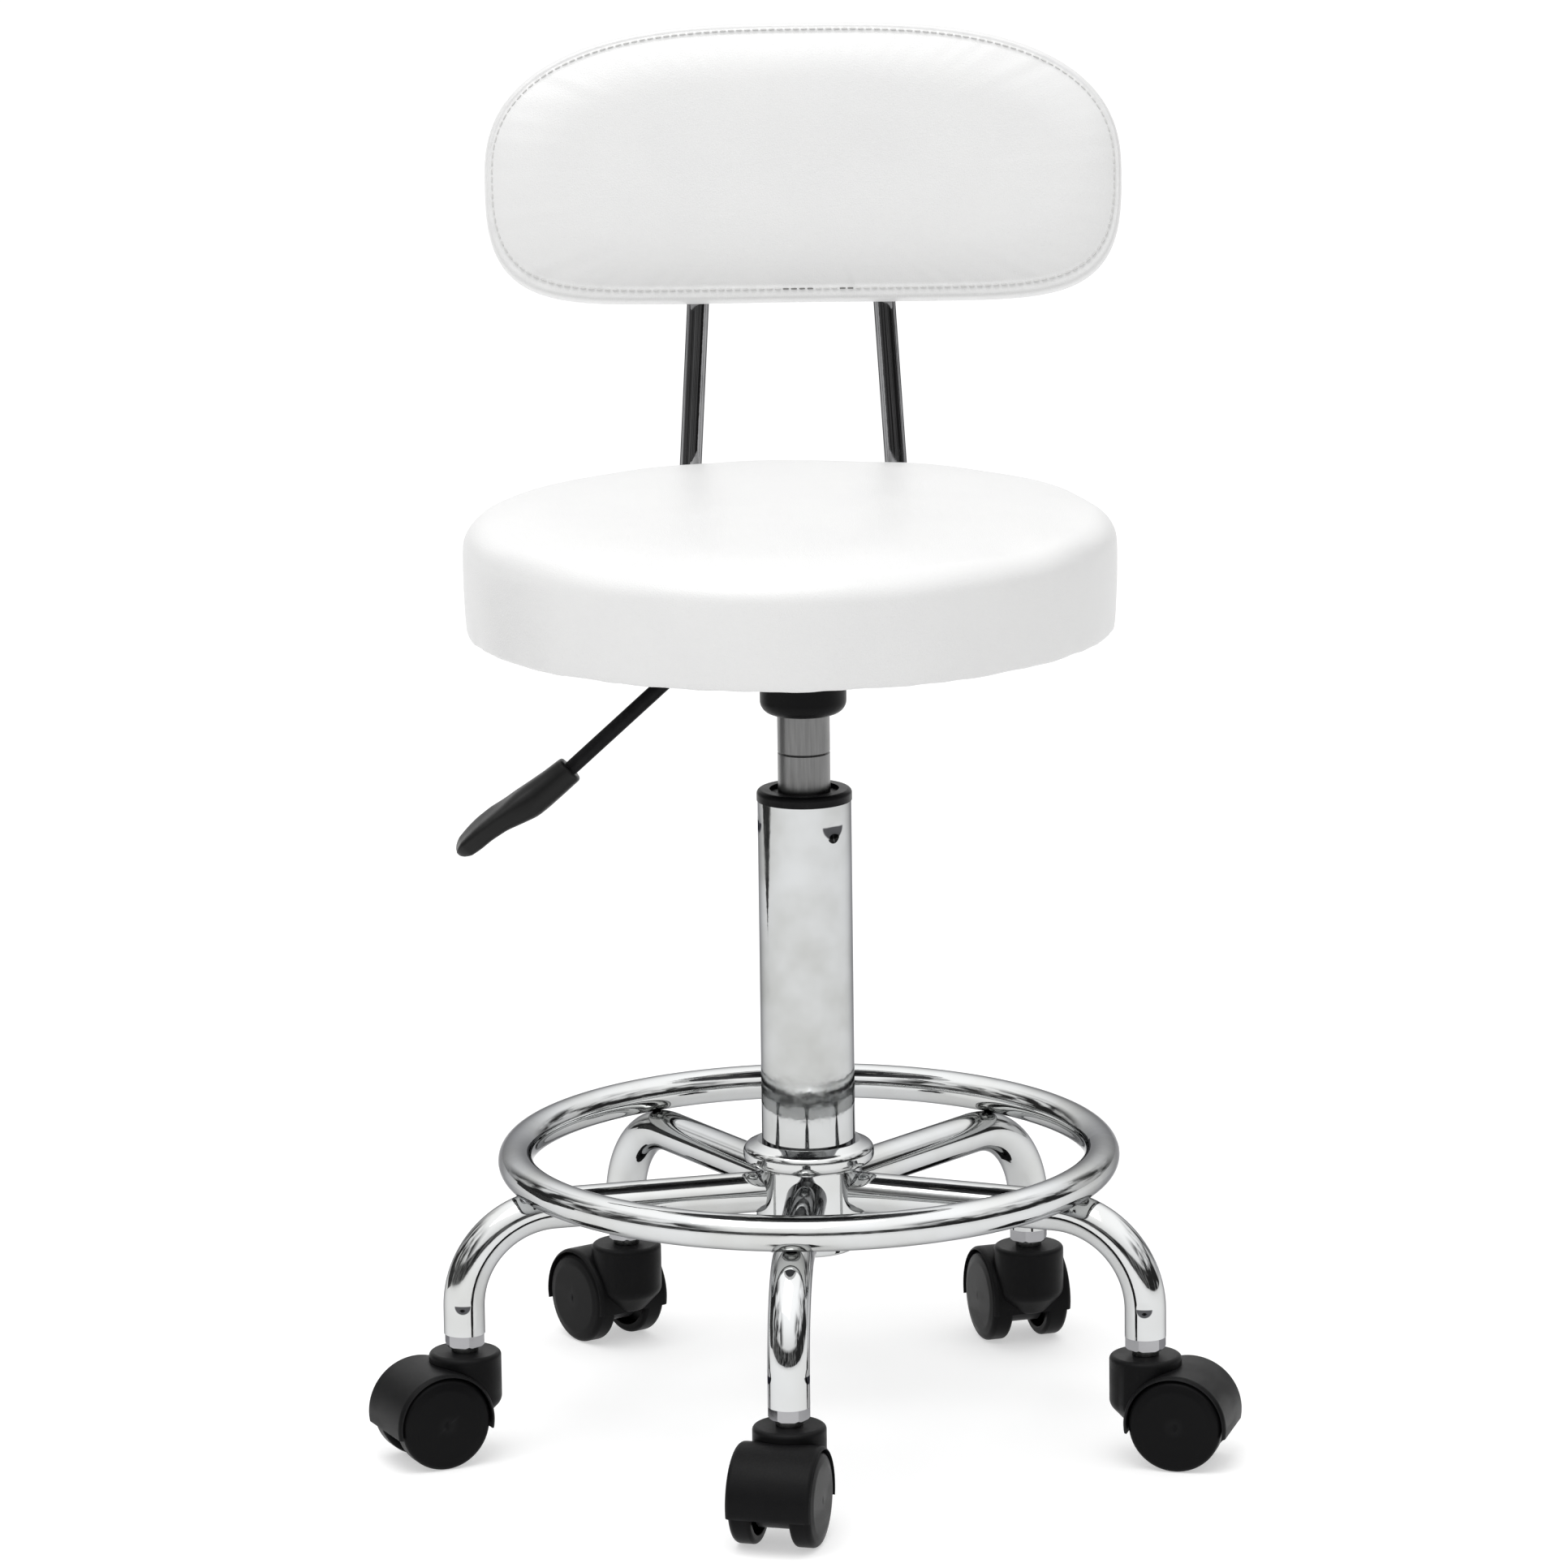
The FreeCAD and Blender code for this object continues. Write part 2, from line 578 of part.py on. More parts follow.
# ---- padding -------------------------------------------------------------------------------------
def seat_bolt_places():
    """All bolt places through the seat board."""
    rods = [(BACK_SHIFT_X + side * BACK_ROD_CORNER_X, y) for side in (-1, 1) for y in ROD_TAB_YS]
    return corner_places(PLATE_BOLT_PITCH) + rods


def seat_t_nuts():
    """Flanged nuts on top of the seat board."""
    return Part.makeCompound([t_nut(BOARD_BOTTOM_Z, BOARD_BOTTOM_Z + BOARD_THICK, x, y)
                              for x, y in seat_bolt_places()])


def seat_board():
    """Round plywood board."""
    high = BOARD_BOTTOM_Z + BOARD_THICK
    board = cylinder(SEAT_RADIUS - 4.0, BOARD_BOTTOM_Z, high, SEAT_PAD_X)
    for x, y in seat_bolt_places():
        board = board.cut(cylinder(BOLT_RADIUS, BOARD_BOTTOM_Z - 1, high + 1, x, y))
        board = board.cut(cylinder(BOLT_RADIUS + 1.0, high - 8.0, high + 1, x, y))
    return board


def seat_outline(inset, bottom_z):
    """Half section of the padded seat, shrunk by inset."""
    side, waist = SEAT_RADIUS - inset, SEAT_RADIUS - inset - 1.8
    top = SEAT_TOP_Z - inset
    return [(0, bottom_z), (waist, bottom_z, 1.5), (side, bottom_z + 20.0, 30.0),
            (side, top, SEAT_EDGE_ROUND - inset), (0, top)]


def seat_foam():
    """Foam pad glued on the board."""
    board_top = BOARD_BOTTOM_Z + BOARD_THICK
    foam = turned(seat_outline(SKIN + TOUCH / 2, BOARD_BOTTOM_Z)).cut(
        cylinder(SEAT_RADIUS + 5.0, BOARD_BOTTOM_Z - 5.0, board_top))
    foam.translate(V(SEAT_PAD_X, 0, 0))
    for x, y in seat_bolt_places():
        foam = foam.cut(cylinder(9.2, board_top - 1, board_top + 1.2, x, y))
    return foam


def seat_cover():
    """Vinyl skin over the pad, turned in under the board's rim."""
    outer = turned(seat_outline(0.0, SEAT_BOTTOM_Z))
    inner = turned(seat_outline(SKIN, BOARD_BOTTOM_Z))
    mouth = cylinder(SEAT_RADIUS - WRAP_WIDTH, SEAT_BOTTOM_Z - 5, BOARD_BOTTOM_Z + 5)
    skin = outer.cut(inner).cut(mouth)
    skin.translate(V(SEAT_PAD_X, 0, 0))
    return skin


def seat_dust_cover():
    """Thin black cloth over the middle of the board's underside."""
    low = PLATE_TOP_Z
    cloth = cylinder(SEAT_RADIUS - WRAP_WIDTH - 1.0, low, BOARD_BOTTOM_Z, SEAT_PAD_X)
    for x, y in seat_bolt_places():
        cloth = cloth.cut(cylinder(BOLT_RADIUS, low - 1, BOARD_BOTTOM_Z + 1, x, y))
    return cloth


def back_outline(inset, w):
    """Closed outline of the backrest in its own frame: a low dome on a flatter foot."""
    half_width = BACK_HALF_WIDTH - inset
    mid_u = BACK_HEIGHT * 0.46
    steps = 72
    points = []
    for step in range(steps):
        angle = 2 * math.pi * step / steps
        cos_a, sin_a = math.cos(angle), math.sin(angle)
        rise = (BACK_HEIGHT - mid_u if sin_a > 0 else mid_u) - inset
        power = 2.45 if sin_a > 0 else 3.6
        x = half_width * math.copysign(abs(cos_a) ** (2 / power), cos_a)
        u = mid_u + rise * math.copysign(abs(sin_a) ** (2 / power), sin_a)
        points.append(back_vector(BACK_PAD_X + x, u, w))
    curve = Part.BSplineCurve()
    curve.interpolate(points, PeriodicFlag=True)
    return Part.Wire([curve.toShape()])


def back_block(inset, low_w, high_w, edge_round):
    """Slab of the backrest's outline between two depths, with rounded rims."""
    face = Part.Face(back_outline(inset, low_w))
    slab = face.extrude(back_vector(0, 0, high_w) - back_vector(0, 0, low_w))
    if edge_round > 0:
        rims = [e for e in slab.Edges if e.Closed and e.Length > BACK_HALF_WIDTH]
        slab = slab.makeFillet(edge_round, rims)
    return slab


def back_bolt_holes(radius, low_w, high_w):
    """Cylinders at the backrest's bolt places between two depths."""
    return both_sides_back(lambda x, u: in_back_frame(cylinder(radius, low_w, high_w), x, u, 0))


def back_board():
    """Plywood board inside the backrest."""
    high = SKIN + BACK_BOARD_THICK
    board = back_block(SKIN + 6.0, SKIN, high, 0)
    board = board.cut(back_bolt_holes(BOLT_RADIUS, 0, high + 1))
    return board.cut(back_bolt_holes(BOLT_RADIUS + 1.0, high - 8.0, high + 1))


def back_foam():
    """Foam pad on the front of the back board."""
    low = SKIN + BACK_BOARD_THICK
    foam = back_block(SKIN + TOUCH, low, BACK_THICK - SKIN - TOUCH, 6.2)
    return foam.cut(back_bolt_holes(9.2, low - 1, low + 1.2))


def back_cover():
    """Vinyl skin around the backrest."""
    skin = back_block(0, 0, BACK_THICK, 7.0).cut(back_block(SKIN, SKIN, BACK_THICK - SKIN, 5.8))
    return skin.cut(back_bolt_holes(BOLT_RADIUS, -5, SKIN + 2))


# ---- lever -------------------------------------------------------------------------------------------
def lever_point(along):
    """Point on the lever's sloping run, measured from its bend corner."""
    drop = math.radians(LEVER_DROP)
    return V(LEVER_BEND_X - along * math.cos(drop), 0, LEVER_Z - along * math.sin(drop))


def lever_rod():
    """Bent steel rod from over the valve pin, through the pivot and down to the grip."""
    path = rounded_path([(V(5.0, 0, LEVER_Z), 0), (V(LEVER_BEND_X, 0, LEVER_Z), 12.0),
                         (lever_point(GRIP_START + 40.0), 0)])
    rod = swept_round(path, LEVER_RADIUS)
    return rod.cut(pivot_cylinder(PIVOT_PIN_RADIUS + RUN, 10.0))


def grip_section(along, centre, half_width, half_depth):
    """Elliptical section of the grip, across the lever's sloping run."""
    drop = math.radians(LEVER_DROP)
    upward = V(-math.sin(drop), 0, math.cos(drop))
    roll = math.radians(-7.0) if centre > 1.0 else 0.0
    middle = lever_point(GRIP_START + along) + upward * centre
    points = []
    for step in range(24):
        angle = 2 * math.pi * step / 24
        across = half_width * math.copysign(abs(math.cos(angle)) ** 0.8, math.cos(angle))
        raised = half_depth * math.copysign(abs(math.sin(angle)) ** 0.8, math.sin(angle))
        side = across * math.cos(roll) - raised * math.sin(roll)
        rise = across * math.sin(roll) + raised * math.cos(roll)
        points.append(middle + V(0, side, 0) + upward * rise)
    curve = Part.BSplineCurve()
    curve.interpolate(points, PeriodicFlag=True)
    return Part.Wire([curve.toShape()])


def lever_grip():
    """Moulded grip: round where it takes the rod, flattened to a thumb paddle at its end."""
    stations = [(0.0, 0.0, 7.4, 7.4), (14.0, 0.6, 8.0, 8.2), (29.0, 2.0, 9.2, 9.3),
                (44.0, 5.2, 10.4, 6.9), (58.0, 7.2, 10.8, 5.0), (70.0, 7.6, 8.6, 4.5),
                (76.0, 7.8, 4.6, 3.0)]
    wires = [grip_section(*station) for station in stations]
    grip = Part.makeLoft(wires, True, False)
    return grip.cut(lever_rod())


# ---- casters --------------------------------------------------------------------------------------------
def caster_stem():
    """Steel stem: upper end in the leg's plug, neck, and pin in the hood's bore."""
    neck_low, neck_high, stem_top = HOOD_TOP_Z + 0.2, 61.5, LEG_END_Z + 13.0
    return turned([
        (0, 34.0), (STEM_RADIUS, 34.0, 0.8), (STEM_RADIUS, neck_low), (7.2, neck_low),
        (7.2, neck_high), (STEM_RADIUS - 0.5, neck_high), (STEM_RADIUS - 0.5, stem_top, 0.8),
        (0, stem_top)])


def along_x(radius, low_x, high_x):
    """Cylinder on the caster's axle line between two x values."""
    return Part.makeCylinder(radius, high_x - low_x, V(low_x, -TRAIL, WHEEL_RADIUS), V(1, 0, 0))


def caster_hood():
    """Hood with the stem boss, a fender over both wheels and the web between them."""
    boss = turned([(0, 20.0), (9.0, 20.0, 4.0), (HOOD_BOSS_RADIUS, 31.0, 7.0),
                   (HOOD_BOSS_RADIUS, HOOD_TOP_Z, 2.5), (0, HOOD_TOP_Z)])
    fender = along_x(HOOD_WALL_RADIUS, -HOOD_HALF_WIDTH, HOOD_HALF_WIDTH)
    rims = [e for e in fender.Edges if e.Closed]
    fender = fender.makeFillet(3.0, rims)
    drop = math.radians(FENDER_DROP)
    reach = HOOD_WALL_RADIUS + 5.0
    cut_z = WHEEL_RADIUS - HOOD_WALL_RADIUS * math.sin(drop)
    fender = fender.cut(box((-30, -TRAIL - reach, -5), (30, reach, cut_z)))
    fender = fender.cut(box((-30, -TRAIL + 14.0, -5), (30, reach, WHEEL_RADIUS - 5.0)))
    wheel_room = WHEEL_RADIUS + WHEEL_GAP
    hood = boss.fuse(fender)
    for side in (-1, 1):
        low_x, high_x = sorted((side * (WHEEL_INNER - 0.5), side * 30.0))
        hood = hood.cut(along_x(wheel_room, low_x, high_x))
    web = along_x(16.0, -WHEEL_INNER + 0.5, WHEEL_INNER - 0.5)
    hood = hood.fuse(web)
    hood = hood.cut(along_x(AXLE_RADIUS, -30, 30))
    return hood.cut(cylinder(STEM_RADIUS + RUN, 33.5, HOOD_TOP_Z + 1)).removeSplitter()


def caster_axle():
    """Pin through the hood's web that carries both wheels."""
    half = WHEEL_INNER + WHEEL_WIDTH - 2.2
    return along_x(AXLE_RADIUS, -half, half)


def caster_wheel(side):
    """Nylon wheel: rounded tread, domed outer face, dished inner face, blind bore."""
    inner, outer = WHEEL_INNER, WHEEL_INNER + WHEEL_WIDTH
    wheel = turned([
        (AXLE_RADIUS + RUN, inner), (7.5, inner, 0.5), (7.5, inner + 7.0), (19.5, inner + 7.0),
        (20.5, inner, 0.5), (WHEEL_RADIUS, inner, 2.0), (WHEEL_RADIUS, outer - 1.2, 3.2),
        (19.0, outer, 8.0), (0, outer + 0.3), (0, outer - 2.0), (AXLE_RADIUS + RUN, outer - 2.0)])
    wheel.rotate(V(0, 0, 0), V(0, 1, 0), 90.0 * side)
    wheel.translate(V(0, -TRAIL, WHEEL_RADIUS))
    return wheel


def place_caster(shape, index):
    """Turn a caster piece to its resting direction and move it under its leg."""
    placed = turned_about_z(shape, CASTER_TURNS[index])
    placed.translate(leg_place(index))
    return placed


# ---- everything ---------------------------------------------------------------------------------------------
def main():
    """Build and export every node."""
    os.makedirs("parts", exist_ok=True)
    legs = [leg(index) for index in range(LEG_COUNT)]
    right_rod = back_rod_right()
    nodes = {
        "base_hub": base_hub(), "leg_sockets": leg_sockets(), "foot_ring": foot_ring(legs),
        "caster_stems": at_every_leg(caster_stem()),
        "column_tube": column_tube(), "column_bush": column_bush(),
        "thrust_bearing": thrust_bearing(), "bearing_washer": race(UPPER_RACE_Z),
        "rod_clip": rod_clip(),
        "piston_rod": piston_rod(), "piston": piston(), "bump_stop": bump_stop(),
        "gas_cylinder": gas_cylinder(), "rod_guide": rod_guide(), "valve_pin": valve_pin(),
        "stem_socket": stem_socket(), "socket_cup": socket_cup(), "seat_plate": seat_plate(),
        "seat_bolts": seat_bolts(), "seat_t_nuts": seat_t_nuts(), "seat_board": seat_board(),
        "seat_foam": seat_foam(), "seat_cover": seat_cover(),
        "seat_dust_cover": seat_dust_cover(),
        "back_rod_right": right_rod, "back_rod_left": mirrored(right_rod),
        "back_rod_bolts": back_rod_bolts(), "back_bolts": back_bolts(),
        "back_t_nuts": back_t_nuts(), "back_board": back_board(), "back_foam": back_foam(),
        "back_cover": back_cover(), "lever_pivot_pin": lever_pivot_pin(),
        "lever_rod": lever_rod(), "lever_grip": lever_grip(),
    }
    hood, axle = caster_hood(), caster_axle()
    wheels = {"wheel_left": caster_wheel(-1), "wheel_right": caster_wheel(1)}
    for index, place in enumerate(LEG_NAMES):
        nodes["leg_" + place] = legs[index]
        nodes["caster_" + place + "_hood"] = place_caster(hood, index)
        nodes["caster_" + place + "_axle"] = place_caster(axle, index)
        for name, wheel in wheels.items():
            nodes["caster_" + place + "_" + name] = place_caster(wheel, index)
    for name, shape in nodes.items():
        if name.startswith("back_"):
            shape = shape.copy()
            shape.translate(V(BACK_SHIFT_X, 0, 0))
        export(name, shape)


main()
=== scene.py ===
"""Looks of the pedicure stool: upholstery, finishes, floor, light and camera round the fixed frame.

The frame's own metal and nylon pieces keep their shapes and get finishes here. The two cushions
are made here as sewn vinyl over foam, with their stitching, hems and staples, and so is the grip
of the lever.
"""

import json
import logging
import math
from collections.abc import Callable, Iterable, Sequence
from dataclasses import dataclass, field
from enum import Enum

import bpy
import numpy as np
from mathutils import Matrix, Vector


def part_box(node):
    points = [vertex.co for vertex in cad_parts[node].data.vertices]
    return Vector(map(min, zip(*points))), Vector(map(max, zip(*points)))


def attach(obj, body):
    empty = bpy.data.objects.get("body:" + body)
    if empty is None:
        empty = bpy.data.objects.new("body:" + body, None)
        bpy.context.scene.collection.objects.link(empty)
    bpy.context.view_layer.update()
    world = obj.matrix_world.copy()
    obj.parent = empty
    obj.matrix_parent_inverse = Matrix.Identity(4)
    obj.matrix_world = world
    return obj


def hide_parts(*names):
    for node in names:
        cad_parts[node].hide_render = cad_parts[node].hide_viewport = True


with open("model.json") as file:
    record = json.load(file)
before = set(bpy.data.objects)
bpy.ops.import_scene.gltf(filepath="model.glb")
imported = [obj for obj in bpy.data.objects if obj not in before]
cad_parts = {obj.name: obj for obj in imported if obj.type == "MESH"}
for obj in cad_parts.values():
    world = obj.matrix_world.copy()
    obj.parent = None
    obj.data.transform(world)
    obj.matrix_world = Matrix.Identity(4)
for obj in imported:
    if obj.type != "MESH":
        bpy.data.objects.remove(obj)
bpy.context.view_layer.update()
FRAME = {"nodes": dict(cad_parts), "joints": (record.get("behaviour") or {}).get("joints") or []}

LOG = logging.getLogger("stool")
MM = 0.001
Colour = tuple[float, float, float]
Point = tuple[float, float, float]
Sockets = dict[str, bpy.types.NodeSocket]
Placing = tuple[np.ndarray, np.ndarray, np.ndarray]

NODE_SPACING = (190, 160)
NODE_ROWS = 4
REMADE_HERE = {"seat_cover", "back_cover", "lever_grip"}


# ---- node trees ----------------------------------------------------------------------------


class Tree:
    """Small builder for a material's or a group's node tree."""

    def __init__(self, nodes: bpy.types.NodeTree) -> None:
        """Start on an empty tree.

        Args:
            nodes: the tree to fill.
        """
        self.tree = nodes
        self.column = 0

    def add(self, kind: str, inputs: dict[str | int, object] | None = None,
            **settings: object) -> bpy.types.Node:
        """Add a node, set its properties and wire or set its inputs.

        Args:
            kind: the node's type name.
            inputs: socket name or number to a value or to another node's output socket.
            settings: properties of the node itself.

        Returns:
            The new node.
        """
        node = self.tree.nodes.new(kind)
        node.location = (self.column * NODE_SPACING[0], -(self.column % NODE_ROWS) * NODE_SPACING[1])
        self.column += 1
        for name, value in settings.items():
            setattr(node, name, value)
        for key, value in (inputs or {}).items():
            if isinstance(value, bpy.types.NodeSocket):
                self.tree.links.new(value, node.inputs[key])
            else:
                node.inputs[key].default_value = value
        return node

    def math(self, operation: str, first: object, second: object = 0.0,
             clamp: bool = False) -> bpy.types.NodeSocket:
        """Add a Math node.

        Args:
            operation: the node's operation, such as MULTIPLY.
            first: first value or socket.
            second: second value or socket.
            clamp: keep the result between 0 and 1.

        Returns:
            The result's socket.
        """
        node = self.add("ShaderNodeMath", {0: first, 1: second}, operation=operation, use_clamp=clamp)
        return node.outputs[0]

    def mix(self, factor: object, first: object, second: object) -> bpy.types.NodeSocket:
        """Mix two colours.

        Args:
            factor: share of the second colour.
            first: first colour or socket.
            second: second colour or socket.

        Returns:
            The mixed colour's socket.
        """
        node = self.add("ShaderNodeMix", {"Factor": factor}, data_type="RGBA")
        for number, value in ((6, first), (7, second)):
            if isinstance(value, bpy.types.NodeSocket):
                self.tree.links.new(value, node.inputs[number])
            else:
                node.inputs[number].default_value = (*value, 1.0)[:4]
        return node.outputs[2]

    def remap(self, value: object, low: float, high: float, to_low: float,
              to_high: float) -> bpy.types.NodeSocket:
        """Map a range of values smoothly onto another.

        Args:
            value: value or socket to map.
            low: start of the range read.
            high: end of the range read.
            to_low: value given at low.
            to_high: value given at high.

        Returns:
            The mapped value's socket.
        """
        inputs = {0: value, 1: low, 2: high, 3: to_low, 4: to_high}
        return self.add("ShaderNodeMapRange", inputs, interpolation_type="SMOOTHSTEP").outputs[0]

    def place(self) -> bpy.types.NodeSocket:
        """Return the socket of the piece's own coordinates, in metres."""
        return self.add("ShaderNodeTexCoord").outputs["Object"]

    def noise(self, place: bpy.types.NodeSocket, scale: object, detail: float = 3.0,
              roughness: float = 0.5) -> bpy.types.NodeSocket:
        """Add a noise texture.

        Args:
            place: coordinates.
            scale: features per metre, as a value or socket.
            detail: octaves.
            roughness: weight of the fine octaves.

        Returns:
            The noise value's socket.
        """
        inputs = {"Vector": place, "Scale": scale, "Detail": detail, "Roughness": roughness}
        return self.add("ShaderNodeTexNoise", inputs).outputs[0]

    def stretched(self, scale: Point) -> bpy.types.NodeSocket:
        """Return the piece's coordinates scaled along each axis.

        Args:
            scale: factor along X, Y and Z.

        Returns:
            The scaled coordinates' socket.
        """
        return self.add("ShaderNodeMapping", {"Vector": self.place(), "Scale": scale}).outputs[0]


def group(name: str, inputs: dict[str, float], outputs: Sequence[str],
          build: Callable[[Tree, Sockets], Sockets]) -> bpy.types.NodeTree:
    """Make a shader node group with named float inputs and outputs.

    Args:
        name: the group's name.
        inputs: input names and their default values.
        outputs: output names.
        build: fills the tree from the input sockets and returns each output's socket.

    Returns:
        The group's tree.
    """
    tree = bpy.data.node_groups.new(name, "ShaderNodeTree")
    for label, value in inputs.items():
        socket = tree.interface.new_socket(label, in_out="INPUT", socket_type="NodeSocketFloat")
        socket.default_value = value
    for label in outputs:
        tree.interface.new_socket(label, in_out="OUTPUT", socket_type="NodeSocketFloat")
    maker = Tree(tree)
    source = maker.add("NodeGroupInput")
    made = build(maker, {label: source.outputs[label] for label in inputs})
    target = maker.add("NodeGroupOutput")
    for label, socket in made.items():
        tree.links.new(socket, target.inputs[label])
    return tree


def leather_grain(tree: Tree, given: Sockets) -> Sockets:
    """Pebbled vinyl grain with finer pores and slow unevenness.

    Args:
        tree: builder of the group.
        given: sockets Scale and Unevenness.

    Returns:
        Sockets Height and Shade.
    """
    place = tree.place()
    warp = tree.noise(place, 260.0, 2.0)
    reach = (1.6 * MM, 1.2 * MM, 1.4 * MM)
    pushes = {axis: tree.math("MULTIPLY", warp, far) for axis, far in enumerate(reach)}
    push = tree.add("ShaderNodeCombineXYZ", pushes).outputs[0]
    bent = tree.add("ShaderNodeVectorMath", {0: place, 1: push}, operation="ADD").outputs[0]
    pebbles = tree.add("ShaderNodeTexVoronoi", {"Vector": bent, "Scale": given["Scale"]},
                       feature="DISTANCE_TO_EDGE").outputs[0]
    domes = tree.remap(pebbles, 0.0, 0.35, 0.0, 1.0)
    pores = tree.noise(place, 2600.0, 2.0)
    slow = tree.noise(place, 22.0, 3.0)
    height = tree.math("ADD", tree.math("MULTIPLY", domes, 0.7), tree.math("MULTIPLY", pores, 0.3))
    height = tree.math("ADD", height, tree.math("MULTIPLY", slow, given["Unevenness"]))
    return {"Height": height, "Shade": tree.remap(slow, 0.3, 0.7, 0.0, 1.0)}


def moulded_grain(tree: Tree, given: Sockets) -> Sockets:
    """Spark-eroded grain of a moulded part, with flow marks.

    Args:
        tree: builder of the group.
        given: sockets Scale and Flow.

    Returns:
        Sockets Height and Shade.
    """
    place = tree.place()
    fine = tree.noise(place, given["Scale"], 4.0, 0.65)
    flow = tree.noise(tree.stretched((1.0, 1.0, 3.0)), 30.0, 2.0)
    height = tree.math("ADD", fine, tree.math("MULTIPLY", flow, given["Flow"]))
    return {"Height": height, "Shade": tree.remap(flow, 0.35, 0.7, 0.0, 1.0)}


def handling(tree: Tree, given: Sockets) -> Sockets:
    """Faint smudges and hairline scratches left by cleaning and handling.

    Args:
        tree: builder of the group.
        given: sockets Smudge scale and Scratch scale.

    Returns:
        Sockets Smudge and Scratch.
    """
    place = tree.place()
    cloud = tree.noise(place, given["Smudge scale"], 4.0, 0.6)
    smudge = tree.remap(cloud, 0.5, 0.72, 0.0, 1.0)
    streaks = tree.noise(tree.stretched((1.0, 1.0, 0.06)), given["Scratch scale"], 2.0)
    return {"Smudge": smudge, "Scratch": tree.remap(streaks, 0.66, 0.72, 0.0, 1.0)}


def rubbed_edges_and_hollow_shade(tree: Tree, given: Sockets) -> Sockets:
    """Rubbed convex edges, and painted shade in hollows, from the shape's own curvature.

    Args:
        tree: builder of the group.
        given: sockets Reach and Breakup.

    Returns:
        Sockets Edge and Hollow, the second a mask for painted shade.
    """
    curved = tree.add("ShaderNodeNewGeometry").outputs["Pointiness"]
    patchy = tree.noise(tree.place(), 180.0, 4.0, 0.7)
    breakup = tree.math("MULTIPLY", tree.math("SUBTRACT", patchy, 0.5), given["Breakup"])
    broken = tree.math("ADD", 1.0, breakup)
    above = tree.math("SUBTRACT", curved, 0.5)
    edge = tree.math("MULTIPLY", tree.math("MULTIPLY", above, given["Reach"]), broken, clamp=True)
    # Hollow: concave places, which the materials darken as painted shade.
    hollow = tree.math("MULTIPLY", tree.math("MULTIPLY", above, -1.0), given["Reach"], clamp=True)
    return {"Edge": edge, "Hollow": hollow}


def settled_dust(tree: Tree, given: Sockets) -> Sockets:
    """Dust lying on faces that look up.

    Args:
        tree: builder of the group.
        given: socket Amount.

    Returns:
        Socket Dust.
    """
    normal = tree.add("ShaderNodeNewGeometry").outputs["Normal"]
    up = tree.add("ShaderNodeSeparateXYZ", {0: normal}).outputs[2]
    flecks = tree.noise(tree.place(), 900.0, 3.0, 0.7)
    lying = tree.math("MULTIPLY", tree.remap(up, 0.2, 0.95, 0.0, 1.0),
                      tree.remap(flecks, 0.42, 0.62, 0.0, 1.0))
    return {"Dust": tree.math("MULTIPLY", lying, given["Amount"], clamp=True)}


def punch_mark_and_painted_shade(tree: Tree, given: Sockets) -> Sockets:
    """Dimple of a punch with one flat side, where a tube is fixed onto what it holds, and a half moon of
    painted shade below it.

    Args:
        tree: builder of the group.
        given: sockets X, Y, Z and Radius.

    Returns:
        Sockets Height and Shade, the second a mask for painted shade: a half moon below the dimple's flat
        side.
    """
    middle = tree.add("ShaderNodeCombineXYZ", {0: given["X"], 1: given["Y"], 2: given["Z"]}).outputs[0]
    away = tree.add("ShaderNodeVectorMath", {0: tree.place(), 1: middle}, operation="DISTANCE")
    share = tree.math("DIVIDE", away.outputs["Value"], given["Radius"])
    height = tree.add("ShaderNodeSeparateXYZ", {0: tree.place()}).outputs[2]
    above = tree.math("DIVIDE", tree.math("SUBTRACT", height, given["Z"]), given["Radius"])
    return {"Height": tree.remap(share, 0.0, 1.0, 0.0, 1.0),
            "Shade": tree.math("MULTIPLY", tree.remap(share, 0.85, 1.0, 1.0, 0.0),
                               tree.remap(above, -0.05, 0.08, 1.0, 0.0))}


class Effect(Enum):
    """Shared surface effects, each one shader node group."""

    LEATHER = "vinyl grain"
    MOULDED = "moulded grain"
    HANDLING = "handling marks"
    EDGES = "rubbed edges and hollow shade"
    DUST = "settled dust"
    STAKE_AND_SHADE = "punch mark and painted shade"


class Effects:
    """The node groups of the shared effects, each built once."""

    def __init__(self) -> None:
        """Build every group."""
        self.groups = {
            Effect.LEATHER: group(Effect.LEATHER.value, {"Scale": 700.0, "Unevenness": 0.5},
                                  ("Height", "Shade"), leather_grain),
            Effect.MOULDED: group(Effect.MOULDED.value, {"Scale": 2200.0, "Flow": 0.3},
                                  ("Height", "Shade"), moulded_grain),
            Effect.HANDLING: group(Effect.HANDLING.value, {"Smudge scale": 30.0, "Scratch scale": 400.0},
                                   ("Smudge", "Scratch"), handling),
            Effect.EDGES: group(Effect.EDGES.value, {"Reach": 10.0, "Breakup": 1.0},
                                ("Edge", "Hollow"), rubbed_edges_and_hollow_shade),
            Effect.STAKE_AND_SHADE: group(Effect.STAKE_AND_SHADE.value, {"X": 0.0, "Y": 0.0, "Z": 0.0, "Radius": 0.004},
                                ("Height", "Shade"), punch_mark_and_painted_shade),
            Effect.DUST: group(Effect.DUST.value, {"Amount": 0.2}, ("Dust",), settled_dust),
        }

    def use(self, tree: Tree, effect: Effect, **values: float) -> bpy.types.Node:
        """Place an effect in a material.

        Args:
            tree: builder of the material.
            effect: which effect.
            values: input values; an underscore stands for a space in the input's name.

        Returns:
            The group node.
        """
        node = tree.add("ShaderNodeGroup")
        node.node_tree = self.groups[effect]
        for name, value in values.items():
            node.inputs[name.replace("_", " ")].default_value = value
        return node


# ---- finishes --------------------------------------------------------------------------------


